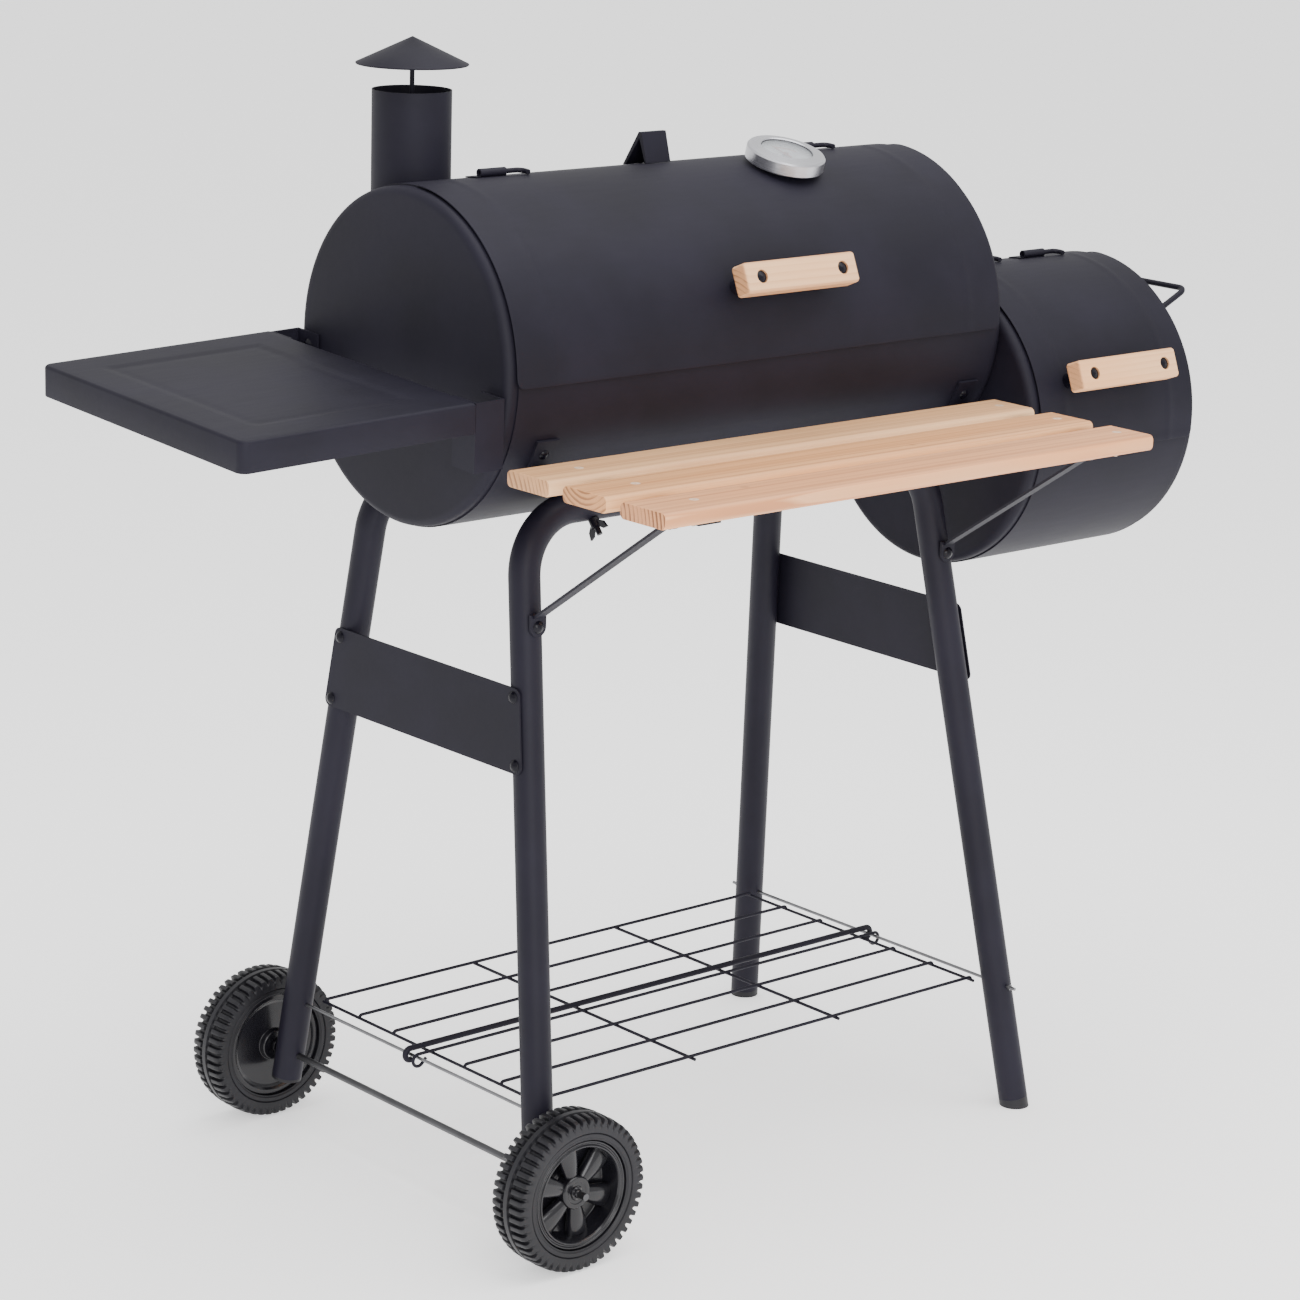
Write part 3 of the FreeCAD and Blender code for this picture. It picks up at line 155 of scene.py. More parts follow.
def soften(corners, radius, steps=8, closed=False):
    """The polyline through corners with each corner taken off by an arc.

    At a corner C with unit directions p back and q ahead, half the angle between them is h. The arc starts
    at C + p r / tan h, ends at C + q r / tan h, and its centre is at C + (p + q)/|p + q| r / sin h.
    """
    corners = np.asarray(corners, float)
    count = len(corners)
    radii = np.broadcast_to(np.asarray(radius, float), (count,))
    inner = range(count) if closed else range(1, count - 1)
    line = [] if closed else [corners[:1]]
    for index in inner:
        corner = corners[index]
        back, ahead = unit(corners[index - 1] - corner), unit(corners[(index + 1) % count] - corner)
        bisector = back + ahead
        if radii[index] <= 0 or np.linalg.norm(bisector) < 1e-6:
            line.append(corner[None])
            continue
        half = math.acos(np.clip(back @ ahead, -1, 1)) / 2
        bisector = unit(bisector)
        centre = corner + bisector * radii[index] / math.sin(half)
        first = corner + back * radii[index] / math.tan(half) - centre
        side = -bisector * radii[index]
        across = first - (first @ side) / (side @ side) * side
        across = unit(across) * radii[index]
        sweep = math.pi / 2 - half
        turns = np.linspace(sweep, -sweep, steps)[:, None]
        line.append(centre + np.cos(turns) * side + np.sin(turns) * across)
    if not closed:
        line.append(corners[-1:])
    return np.concatenate(line)


def loft(rings, wrap=False, caps=True):
    """Quads between neighbouring closed rings, an array of ring by point by XYZ.

    Its ends are capped flat, joined to each other (wrap), or left open.
    """
    rings = np.asarray(rings, float)
    count, sides = rings.shape[:2]
    row = np.arange(count if wrap else count - 1)[:, None]
    column = np.arange(sides)[None]
    after, beside = (row + 1) % count, (column + 1) % sides
    quads = np.stack([row * sides + column, row * sides + beside, after * sides + beside,
                      after * sides + column], -1).reshape(-1, 4).tolist()
    if caps and not wrap:
        quads += [list(range(sides))[::-1], list(range((count - 1) * sides, count * sides))]
    return rings.reshape(-1, 3), quads


def sweep(path, radius, sides):
    """A round bar: at each point of a flat path a circle, centre + r (cos a N + sin a B).

    N is the normal of the path's plane, and B is square to N and to the path.
    """
    ahead = np.gradient(path, axis=0)
    ahead = ahead / np.linalg.norm(ahead, axis=1, keepdims=True)
    crosses = np.cross(ahead[:-1], ahead[1:])
    normal = unit(crosses[np.argmax(np.linalg.norm(crosses, axis=1))])
    beside = np.cross(ahead, normal)
    beside = beside / np.linalg.norm(beside, axis=1, keepdims=True)
    angle = full_turn(sides)[None, :, None]
    return loft(path[:, None] + radius * (np.cos(angle) * normal + np.sin(angle) * beside[:, None]))


def frame_of(direction):
    """A direction as a unit vector, and two more unit vectors square to it."""
    direction = unit(np.asarray(direction, float))
    start = np.array([1.0, 0.0, 0.0]) if abs(direction[0]) < 0.9 else np.array([0.0, 1.0, 0.0])
    first = unit(start - (start @ direction) * direction)
    return direction, first, np.cross(direction, first)


def turned(profile, base, direction, sides=64, height=None):
    """A turned solid: base + z D + r (cos a E + sin a F) for (r, z) down a profile.

    height(r, a), where it is given, adds to z.
    """
    profile = np.asarray(profile, float)
    along, first, second = frame_of(direction)
    angle = full_turn(sides)
    radius = np.broadcast_to(profile[:, :1], (len(profile), sides))
    level = np.broadcast_to(profile[:, 1:], (len(profile), sides))
    if height is not None:
        level = level + height(radius, angle[None])
    rings = (np.asarray(base, float) + level[..., None] * along
             + radius[..., None] * (np.cos(angle)[:, None] * first + np.sin(angle)[:, None] * second))
    return loft(rings, wrap=bool(np.allclose(profile[0], profile[-1])), caps=False)


def around(axis, radius, angle, x):
    """Points at a radius and an angle in degrees round an axis along X: 0 at the back, 90 at the top."""
    turn = np.radians(angle)
    radius, turn, x = np.broadcast_arrays(np.asarray(radius, float), turn, np.asarray(x, float))
    return np.stack([x, axis[0] + radius * np.cos(turn), axis[1] + radius * np.sin(turn)], -1)


def rolled_sheet(axis, radius, angles, ends, corner=0.0, relief=None, rows=120, columns=64):
    """A rolled sheet with softened edges: rings that run out along X on the outer face and back on the inner.

    Towards the first and last angle the ring draws in by c - sqrt(c^2 - (c - d)^2), d from the edge, which
    rounds the sheet's corners. relief(x, angle) lifts both faces.
    """
    first, last = angles
    edge = np.degrees(corner / radius) if corner else 0.6
    near = edge * (1 - np.cos(np.linspace(0, np.pi / 2, 12)))
    between = np.linspace(first + edge, last - edge, rows)
    angle = np.concatenate([first + near[:-1], between, last - near[:-1][::-1]])
    distance = np.radians(np.minimum(angle - first, last - angle)) * radius
    draw = np.zeros_like(angle)
    if corner:
        inside = np.clip(corner - distance, 0, corner)
        draw = corner - np.sqrt(corner ** 2 - inside ** 2)
    soft = SHEET / 2
    across = (1 - np.cos(np.linspace(0, np.pi, columns))) / 2
    start, end = ends[0] + draw, ends[1] - draw
    run = start[:, None] + soft + across[None] * (end - start - 2 * soft)[:, None]
    bend = np.linspace(np.pi / 2, -np.pi / 2, 6)[1:-1]
    right = (end - soft)[:, None] + soft * np.cos(bend)[None]
    left = (start + soft)[:, None] - soft * np.cos(bend)[None]
    x = np.concatenate([run, right, run[:, ::-1], left], 1)
    face = np.concatenate([np.full(columns, soft), soft * np.sin(bend), np.full(columns, -soft),
                           -soft * np.sin(bend)])
    thin = np.ones_like(angle)
    thin[[0, -1]] = 0.35
    thin[[1, -2]] = 0.8
    level = radius + soft + face[None] * thin[:, None]
    if relief is not None:
        level = level + relief(x, angle[:, None])
    return loft(around(axis, level, angle[:, None], x))


def turn_about(points, pivot, axis, degrees):
    """Points turned about a line through pivot."""
    matrix = np.array(Matrix.Rotation(math.radians(degrees), 3, axis))
    return (np.asarray(points) - pivot) @ matrix.T + pivot


def gather(*shapes):
    """Several shapes as one."""
    points, faces, start = [], [], 0
    for shape_points, shape_faces in shapes:
        points.append(shape_points)
        faces += [[index + start for index in face] for face in shape_faces]
        start += len(shape_points)
    return np.concatenate(points), faces


def close_up(mesh):
    """Joins doubled points, which closes seams and poles, and turns every face outwards."""
    work = bmesh.new()
    work.from_mesh(mesh)
    bmesh.ops.remove_doubles(work, verts=work.verts, dist=2e-6)
    bmesh.ops.dissolve_degenerate(work, dist=1e-7, edges=work.edges)
    bmesh.ops.recalc_face_normals(work, faces=work.faces)
    work.to_mesh(mesh)
    work.free()


def body_for(node):
    """The body that a node of the frame belongs to."""
    groups = frame["record"]["behaviour"]["bodies"]
    return next(body for body, nodes in groups.items() if node in nodes)


def make_piece(name, shape, coat, nodes, sharp):
    """A piece from a shape in millimetres with a finish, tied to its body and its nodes."""
    points, faces = shape
    mesh = bpy.data.meshes.new(name)
    mesh.from_pydata((points * MM + ORIGIN).tolist(), [], faces)
    mesh.validate()
    close_up(mesh)
    mesh.shade_smooth()
    mesh.set_sharp_from_angle(angle=math.radians(sharp))
    mesh.materials.append(finish(coat))
    piece = bpy.data.objects.new(name, mesh)
    bpy.context.scene.collection.objects.link(piece)
    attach(piece, body_for(nodes[0]))
    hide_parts(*nodes)
    return piece


def dress(coat, *nodes):
    """Gives frame nodes that stay in the scene a finish."""
    for node in nodes:
        piece = frame["nodes"][node]
        piece.data.materials.clear()
        piece.data.materials.append(finish(coat))


# ---- finishes ----
class Tone:
    """A shader value that takes part in sums."""

    def __init__(self, recipe, socket):
        self.recipe, self.socket = recipe, socket

    def __add__(self, other):
        return self.recipe.sum("ADD", self, other)

    def __sub__(self, other):
        return self.recipe.sum("SUBTRACT", self, other)

    def __mul__(self, other):
        return self.recipe.sum("MULTIPLY", self, other)

    def __truediv__(self, other):
        return self.recipe.sum("DIVIDE", self, other)

    def __pow__(self, other):
        return self.recipe.sum("POWER", self, other)


def tinted(colour, share):
    """A colour times a share, or times one share for each channel."""
    shares = np.broadcast_to(share, 3).tolist()
    return [min(1.0, channel * part) for channel, part in zip(colour, shares)]


class Recipe:
    """One material being put together."""

    def __init__(self, name, **constants):
        self.material = bpy.data.materials.new(name)
        self.material.use_nodes = True
        self.tree = self.material.node_tree
        self.tree.nodes.clear()
        self.surface = self.tree.nodes.new("ShaderNodeBsdfPrincipled")
        output = self.tree.nodes.new("ShaderNodeOutputMaterial")
        self.tree.links.new(self.surface.outputs["BSDF"], output.inputs["Surface"])
        for socket, value in constants.items():
            self.plug(self.surface, socket.replace("_", " "), value)

    def plug(self, node, socket, value):
        target = node.inputs[socket]
        if isinstance(value, Tone):
            self.tree.links.new(value.socket, target)
        elif hasattr(target.default_value, "__len__") and len(target.default_value) == 4:
            target.default_value = (*value, 1.0) if len(value) == 3 else value
        else:
            target.default_value = value

    def add(self, kind, settings=None, values=None, out=0):
        """A node of a kind, with its settings made first and then its sockets' values or links."""
        node = self.tree.nodes.new("ShaderNode" + kind)
        for key, value in (settings or {}).items():
            setattr(node, key, value)
        for socket, value in (values or {}).items():
            self.plug(node, socket, value)
        return Tone(self, node.outputs[out])

    def sum(self, operation, *values):
        return self.add("Math", {"operation": operation}, dict(enumerate(values)))

    def vector_sum(self, operation, *values, out="Value"):
        return self.add("VectorMath", {"operation": operation}, dict(enumerate(values)), out)

    def ramp(self, tone, *stops):
        """A grey that runs through stops, each a place and a level."""
        result = self.add("ValToRGB", {}, {0: tone})
        elements = result.socket.node.color_ramp.elements
        while len(elements) < len(stops):
            elements.new(0.5)
        for element, (place, grey) in zip(elements, stops):
            element.position = place
            element.color = (grey, grey, grey, 1.0)
        return result

    def place(self, scale=(1, 1, 1), shift=(0, 0, 0)):
        """Object coordinates in metres, scaled and then shifted."""
        here = self.add("TexCoord", out="Object")
        return self.add("Mapping", {"vector_type": "POINT"},
                        {"Vector": here, "Location": shift, "Scale": scale})

    def noise(self, where, scale, detail=3.0):
        return self.add("TexNoise", {},
                        {"Vector": where, "Scale": scale, "Detail": detail, "Roughness": 0.55})

    def grain(self, stretch, shift=(0, 0, 0), detail=2.0):
        """Noise stretched along the axes: its stretch is in waves per metre."""
        return self.noise(self.place(stretch, shift), 1.0, detail)

    def part(self, vector, axis):
        return self.add("SeparateXYZ", {}, {0: vector}, out=axis)

    def between(self, tone, low, high, to_low=0.0, to_high=1.0):
        """A tone carried smoothly from one range to another."""
        limits = {"Value": tone, "From Min": low, "From Max": high, "To Min": to_low, "To Max": to_high}
        return self.add("MapRange", {"interpolation_type": "SMOOTHSTEP"}, limits)

    def mix(self, share, first, second):
        return self.add("Mix", {"data_type": "RGBA"}, {0: share, 6: first, 7: second}, out=2)

    def bump(self, height, distance, strength):
        values = {"Height": height, "Distance": distance, "Strength": strength}
        self.set("Normal", self.add("Bump", {}, values))

    def set(self, socket, value):
        self.plug(self.surface, socket, value)

    def colour(self, tone, first, second):
        """A base colour that follows a noise from one colour to another."""
        self.set("Base Color", self.mix(self.between(tone, 0.3, 0.7), first, second))


FINISHES = {}


def paint_finish(name, settings, grain=1100.0, depth=0.00007, rough_shift=0.0, lift=1.0):
    """Sprayed paint: a fine orange peel, and slow patches of tone and sheen."""
    recipe = Recipe(name, Specular_IOR_Level=0.17, IOR=1.5)
    where = recipe.place()
    patches = recipe.noise(where, 9.0, 4.0)
    streaks = recipe.noise(recipe.place(scale=(4, 30, 30)), 6.0, 3.0)
    peel = recipe.noise(where, grain, 2.0)
    recipe.colour(patches, tinted(settings.dark, lift), tinted(settings.light, lift))
    rough = settings.roughness + rough_shift
    recipe.set("Roughness", (patches - 0.5) * 0.10 + (streaks - 0.5) * 0.06 + (peel - 0.5) * 0.06 + rough)
    recipe.bump(peel, depth, 0.6)
    return recipe.material


def timber_finish(name, settings, pith, tint, seed, contrast, end_dark=0.62, knots=()):
    """Softwood: growth rings round a pith line, fine fibres along the board, darker end grain.

    The ring number is d / spacing, d the distance from the pith line plus a slow wander. Each ring goes
    slowly darker and then falls back at once, as late wood does. A knot, an X, a Y and a size in metres,
    bends the rings round it. Faces that look up have sawn streaks and less of the rings, and are painted
    darker than the sides: painted shade, for tops that get less light than the sides.
    """
    recipe = Recipe(name, Specular_IOR_Level=0.35)
    here = recipe.add("TexCoord", out="Object")
    x, y, z = (recipe.part(here, axis) for axis in (0, 1, 2))
    wander = recipe.grain((1.6, 9, 9), (seed, seed, 0))
    fine = recipe.grain((6, 60, 60), (seed, 0, seed), 3.0)
    dy = y - pith[0] + (wander - 0.5) * 0.020
    dz = z - pith[1] + (fine - 0.5) * 0.0016
    distance = (dy * dy + dz * dz) ** 0.5

    def knot_distance(knot_x, knot_y, squeeze):
        return ((x - knot_x) * (x - knot_x) * squeeze + (y - knot_y) * (y - knot_y)) ** 0.5

    for knot_x, knot_y, size in knots:
        gap = knot_distance(knot_x, knot_y, 0.35)
        distance = distance + recipe.between(gap, 0.0, size * 3.5, size * 1.6, 0.0)
    ring = recipe.sum("FRACT", distance / settings.ring)
    late = recipe.ramp(ring, (0.0, 0.04), (0.40, 0.14), (0.78, 0.66), (0.93, 1.0), (1.0, 0.05))
    band = recipe.grain((0.8, 34, 34), (seed * 3, 0, 0))
    late = late * recipe.between(band, 0.32, 0.68, 0.30 * contrast, 1.0 * contrast)
    early_tone, late_tone = tinted(settings.early, tint), tinted(settings.late, tint)

    fibres = recipe.grain((26, 1500, 1500))
    blush = recipe.grain((2.2, 12, 12), (0, seed, seed))
    colour = recipe.mix(late, early_tone, late_tone)
    colour = recipe.mix(recipe.between(fibres, 0.35, 0.75, 0.0, 0.16), colour, late_tone)
    rosy = tinted(early_tone, (1.0, 0.80, 0.66))
    colour = recipe.mix(recipe.between(blush, 0.42, 0.66, 0.0, 0.8), colour, rosy)

    normal = recipe.add("NewGeometry", out="Normal")
    end_grain = recipe.between(recipe.sum("ABSOLUTE", recipe.part(normal, 0)), 0.75, 0.95)
    pores = recipe.noise(recipe.place(), 1400.0, 2.0)
    end_tone = recipe.mix(recipe.between(late, 0.10, 0.62), tinted(early_tone, (0.80, 0.68, 0.62)),
                          tinted(late_tone, end_dark))
    end_tone = recipe.mix(recipe.between(pores, 0.45, 0.75, 0.0, 0.35), end_tone, tinted(late_tone, 0.6))
    colour = recipe.mix(end_grain, colour, end_tone)
    for knot_x, knot_y, size in knots:
        gap = knot_distance(knot_x, knot_y, 0.55)
        heart = recipe.between(gap + (fine - 0.5) * size, size * 0.35, size, 0.8, 0.0)
        colour = recipe.mix(heart, colour, tinted(late_tone, 0.42))

    # Painted shade: faces that look up blend, up to 70 percent, into a streaked tone darker than the sides.
    # The streaks are grain; the darkening is painted shade.
    top = recipe.between(recipe.part(normal, 2), 0.45, 0.95)
    streaks = recipe.between(recipe.grain((1.2, 220, 220), (seed, 0, 0), 3.0), 0.36, 0.66)
    sawn = recipe.mix(streaks, tinted(early_tone, (0.80, 0.71, 0.64)), tinted(early_tone, (0.50, 0.37, 0.30)))
    recipe.set("Base Color", recipe.mix(top * 0.70, colour, sawn))
    recipe.set("Roughness", late * -0.08 + end_grain * 0.15 + (fibres - 0.5) * 0.1 + 0.55)
    recipe.bump(late * -0.3 + fibres, 0.00012, 0.5)
    return recipe.material


def moulded_finish(name, colour, rough, grain=500.0, depth=0.00004, coat=0.0):
    """Moulded plastic: nearly even, with faint flow marks."""
    recipe = Recipe(name, Coat_Roughness=0.12, Specular_IOR_Level=0.32)
    flow = recipe.noise(recipe.place(), 22.0, 3.0)
    speck = recipe.noise(recipe.place(), grain, 2.0)
    recipe.colour(flow, tinted(colour, 0.8), tinted(colour, 1.25))
    recipe.set("Roughness", (flow - 0.5) * 0.12 + (speck - 0.5) * 0.06 + rough)
    recipe.set("Coat Weight", recipe.between(flow, 0.2, 0.8, coat * 0.8, coat))
    recipe.bump(speck, depth, 0.5)
    return recipe.material


def metal_finish(name, colour, rough, stretch=(1, 1, 1), grain=240.0, metallic=1.0):
    """Bare or plated metal with fine drawn lines."""
    recipe = Recipe(name)
    lines = recipe.noise(recipe.place(scale=stretch), grain, 3.0)
    cloud = recipe.noise(recipe.place(), 30.0, 3.0)
    recipe.colour(cloud, tinted(colour, 0.82), tinted(colour, 1.08))
    recipe.set("Metallic", recipe.between(cloud, 0.0, 1.0, metallic * 0.96, metallic))
    recipe.set("Roughness", (lines - 0.5) * 0.22 + (cloud - 0.5) * 0.08 + rough)
    recipe.bump(lines, 0.00003, 0.6)
    return recipe.material


def brushed_bezel(name, centre, direction):
    """Brushed aluminium turned on a lathe: fine rings round the gauge's own axis.

    With q the point less the gauge's centre, the ring number follows |q - (q . D) D|.
    """
    recipe = Recipe(name)
    here = recipe.add("TexCoord", out="Object")
    offset = recipe.vector_sum("SUBTRACT", here, tuple(centre), out="Vector")
    height = recipe.vector_sum("DOT_PRODUCT", offset, tuple(direction))
    length = recipe.vector_sum("LENGTH", offset)
    radius = (length * length - height * height) ** 0.5
    lines = recipe.add("TexNoise", {"noise_dimensions": "1D"},
                       {"W": radius + height * 0.7, "Scale": 5200.0, "Detail": 2.0})
    recipe.colour(lines, (0.46, 0.46, 0.49), (0.60, 0.60, 0.63))
    recipe.set("Metallic", recipe.between(lines, 0.0, 1.0, 0.94, 1.0))
    recipe.set("Roughness", (lines - 0.5) * 0.2 + 0.30)
    recipe.bump(lines, 0.00003, 0.5)
    return recipe.material


def dial_finish(name):
    """The dial's face, from its UV map: a pale ground, marks round 270 degrees, and a warm sector."""
    recipe = Recipe(name, Specular_IOR_Level=0.3)
    spot = recipe.add("UVMap", {"uv_map": "face"})
    u, v = recipe.part(spot, 0) - 0.5, recipe.part(spot, 1) - 0.5
    radius = (u * u + v * v) ** 0.5
    angle = recipe.sum("ARCTAN2", u, v) / (2 * math.pi)

    def band(tone, low, high, edge=0.010):
        """One between low and high, falling to nothing over a soft edge inside each."""
        return recipe.between(tone, low, low + edge) * recipe.between(tone, high - edge, high, 1, 0)

    def marks_round(count, start, width, soft):
        """Marks from a start radius outwards, as many as count in a full turn."""
        step = recipe.sum("PINGPONG", angle, 0.5 / count)
        return recipe.between(step, width, soft, 1, 0) * band(radius, start, 0.465)

    open_arc = recipe.between(recipe.sum("ABSOLUTE", angle), 0.374, 0.378, 1, 0)
    short, long = marks_round(36, 0.405, 0.0011, 0.0021), marks_round(12, 0.365, 0.0016, 0.0028)
    marks = recipe.sum("MAXIMUM", short, long) * open_arc
    sector = band(radius, 0.30, 0.355) * band(angle, 0.02, 0.205, 0.005)
    cloud = recipe.noise(recipe.place(), 60.0, 2.0)
    ground = recipe.mix(cloud, (0.42, 0.43, 0.45), (0.50, 0.51, 0.53))
    ground = recipe.mix(sector, ground, (0.32, 0.10, 0.05))
    recipe.set("Base Color", recipe.mix(marks, ground, (0.03, 0.03, 0.035)))
    recipe.set("Roughness", (cloud - 0.5) * 0.1 + 0.45)
    return recipe.material


def glass_finish(name):
    """Clear glass over the dial, kept simple: mostly see-through, with its own reflection."""
    recipe = Recipe(name, IOR=1.5)
    cloud = recipe.noise(recipe.place(), 40.0, 2.0)
    recipe.set("Base Color", recipe.mix(cloud, (0.55, 0.57, 0.60), (0.60, 0.62, 0.65)))
    recipe.set("Alpha", recipe.between(cloud, 0.0, 1.0, 0.30, 0.36))
    recipe.set("Roughness", recipe.between(cloud, 0.0, 1.0, 0.03, 0.08))
    return recipe.material


def finish(name):
    """A finish by name, made the first time it is asked for."""
    if name in FINISHES:
        return FINISHES[name]
    scene = bpy.context.scene
    paint, timber = scene.smoker_paint, scene.smoker_timber
    front, slat_z = ORIGIN[1], 0.7175
    makers = {
        "paint": (paint_finish, "black_sheet_paint", paint),
        "tube paint": (paint_finish, "black_tube_paint", paint, 1500.0, 0.00005, -0.08, 1.15),
        "rod coating": (paint_finish, "black_rod_coating", paint, 2200.0, 0.00004, -0.06),
        "screw coating": (paint_finish, "black_screw_coating", paint, 2600.0, 0.00002, -0.34, 0.55),
        "grate enamel": (paint_finish, "black_grate_enamel", paint, 900.0, 0.00008, -0.16),
        "back slat": (timber_finish, "pine_back_slat", timber, (front - 0.105, slat_z - 0.030),
                      (1.0, 1.0, 0.96), 1.3, 1.0),
        "middle slat": (timber_finish, "pine_middle_slat", timber, (front - 0.262, slat_z + 0.030),
                        (1.0, 0.90, 0.78), 5.7, 1.35, 0.6, [(0.06, front - 0.279, 0.004)]),
        "front slat": (timber_finish, "pine_front_slat", timber, (front - 0.235, slat_z - 0.018),
                       (1.0, 0.86, 0.80), 9.1, 1.35, 0.34, [(-0.19, front - 0.328, 0.005)]),
        "lid handle": (timber_finish, "pine_lid_handle", timber, (front - 0.15, 0.80),
                       (1.02, 0.97, 0.93), 3.1, 0.8),
        "firebox handle": (timber_finish, "pine_firebox_handle", timber, (front - 0.21, 0.67),
                           (1.04, 1.0, 0.96), 7.9, 0.8),
        "tyre": (moulded_finish, "black_tyre", (0.0075, 0.0072, 0.0098), 0.44, 420.0, 0.00006),
        "hub": (moulded_finish, "black_hub", (0.0070, 0.0067, 0.0090), 0.24, 260.0, 0.00001, 0.25),
        "plug": (moulded_finish, "black_plug", (0.010, 0.0095, 0.0125), 0.5),
        "needle": (moulded_finish, "gauge_needle", (0.25, 0.02, 0.015), 0.35),
        "plated screw": (metal_finish, "plated_screw", (0.66, 0.50, 0.37), 0.5, (1, 1, 1), 240.0, 0.1),
        "axle steel": (metal_finish, "dull_axle_steel", (0.10, 0.10, 0.105), 0.38, (1, 0.06, 1), 900.0),
        "rod steel": (metal_finish, "plated_rod_steel", (0.22, 0.22, 0.23), 0.34, (1, 0.06, 1), 900.0),
        "bezel": (brushed_bezel, "brushed_bezel", *gauge_frame_metres()),
        "dial": (dial_finish, "gauge_dial"),
        "glass": (glass_finish, "gauge_glass"),
    }
    maker, *values = makers[name]
    FINISHES[name] = maker(*values)
    return FINISHES[name]


def gauge_frame():
    """The back of the gauge's case and the direction it faces, in millimetres."""
    base = around(BARREL_AXIS, LID_R + SHEET + GAUGE_BASE, GAUGE_ANGLE, GAUGE_X)
    out = around((0, 0), 1.0, GAUGE_ANGLE, 0.0)
    return base, out


def gauge_frame_metres():
    base, out = gauge_frame()
    return base * MM + ORIGIN, out


# ---- operators ----
class Step(bpy.types.Operator):
    """Shared by every step."""
    bl_options = {"REGISTER", "UNDO"}


def end_wall(radius, x, side, axis):
    """A pressed round wall: flat, with a softened edge into a rim, one turned section of even thickness."""
    inner = radius - SHEET
    corners = [(0, 0), (radius, 0), (radius, RIM_DEPTH), (inner, RIM_DEPTH), (inner, SHEET), (0, SHEET)]
    section = soften(corners, [0, RIM_ROUND, 0.5, 0.5, RIM_ROUND - SHEET, 0], 12)
    rings = np.linspace(0, radius - RIM_ROUND - 2, 12)[1:]
    face = np.column_stack([rings, np.zeros_like(rings)])
    section = np.concatenate([section[:1], face, section[1:]])
    return turned(section, (x, *axis), (side, 0, 0), 144)


class SMOKER_OT_barrel(Step):
    """The barrel's body: rolled sheet, end walls, grate rests and the strap that stops the lid."""
    bl_idname = "smoker.barrel"
    bl_label = "Barrel"

    def execute(self, context):
        wall = end_wall(WALL_R, 0.0, 1, BARREL_AXIS)
        make_piece("barrel_left_wall", wall, "paint", ["barrel_end_left"], 40)
        dress("paint", "barrel_shell", "barrel_end_right", "grate_rests", "lid_stop")
        return {"FINISHED"}


def pressed_lid(axis, radius, front, ends, inset, columns):
    """A lid's sheet with a low ridge inside each end and a front edge that stands off the body.

    The ridges rise by 0.6 exp(-(e / 4.5)^2), e the distance from a ridge's middle, and the edge by
    1.4 exp(-(d / 9)^2), d the distance from the edge.
    """
    ridge_run, ridge_height, edge_run, edge_height = 4.5, 0.6, 9.0, 1.4

    def relief(x, angle):
        edge = np.radians(front - angle) * radius / edge_run
        left, right = (x - ends[0] - inset) / ridge_run, (x - ends[1] + inset) / ridge_run
        return ridge_height * (np.exp(-left ** 2) + np.exp(-right ** 2)) + edge_height * np.exp(-edge ** 2)
    return rolled_sheet(axis, radius, (LID_BACK, front), ends, 8.0, relief, 140, columns)


class SMOKER_OT_lids(Step):
    """Both lids, rolled from sheet with rounded corners and a pressed line inside each end."""
    bl_idname = "smoker.lids"
    bl_label = "Lids"

    def execute(self, context):
        gap = 9.0
        main = pressed_lid(BARREL_AXIS, LID_R, LID_FRONT, (gap, BARREL_LENGTH - gap), 42.0, 150)
        make_piece("barrel_lid_sheet", main, "paint", ["main_lid"], 40)
        ends = (FIREBOX_X + gap, FIREBOX_END - gap)
        small = pressed_lid(FIREBOX_AXIS, SMALL_LID_R, SMALL_LID_FRONT, ends, 34.0, 110)
        make_piece("firebox_lid_sheet", small, "paint", ["firebox_lid"], 40)
        return {"FINISHED"}


class SMOKER_OT_firebox(Step):
    """The firebox: rolled body, end walls, the air vent's plate and the lifting handle."""
    bl_idname = "smoker.firebox"
    bl_label = "Firebox"

    def execute(self, context):
        ends = (FIREBOX_X + 12.0, FIREBOX_END - 12.0)
        body = rolled_sheet(FIREBOX_AXIS, SMALL_SHELL_R, (-177.0, 97.0), ends, rows=220, columns=40)
        make_piece("firebox_body_sheet", body, "paint", ["firebox_shell"], 40)
        dress("paint", "firebox_end_left", "firebox_end_right", "vent_shutter")
        dress("rod coating", "lifting_handle")
        return {"FINISHED"}


class SMOKER_OT_hinges(Step):
    """Hinge tubes on their leaves, and the rods that turn in them."""
    bl_idname = "smoker.hinges"
    bl_label = "Hinges"

    def execute(self, context):
        dress("rod coating", "lid_hinge_tubes", "firebox_hinge_tubes", "lid_hinge_rods", "firebox_hinge_rods")
        return {"FINISHED"}


class SMOKER_OT_chimney(Step):
    """The chimney pipe, the cross-bar inside it, and the rain cap: a cone on its rod."""
    bl_idname = "smoker.chimney"
    bl_label = "Chimney"

    def execute(self, context):
        dress("paint", "chimney_pipe", "chimney_crossbar")
        base = (CHIMNEY_X, CHIMNEY_Y, 0)
        section = [(0, CAP_TOP - 2.2), (CAP_R - 1, CAP_RIM - SHEET), (CAP_R, CAP_RIM), (0, CAP_TOP)]
        cone = turned(soften(section, [0, 0.4, 0.5, 0], 5), base, UP, 96)
        foot, head = CAP_RIM - 88, CAP_TOP - 3.0
        rod = turned([(0, foot), (2.0, foot), (2.2, foot + 0.4), (2.2, head), (0, head)], base, UP, 20)
        make_piece("rain_cap_cone", gather(cone, rod), "paint", ["chimney_cap"], 30)
        return {"FINISHED"}


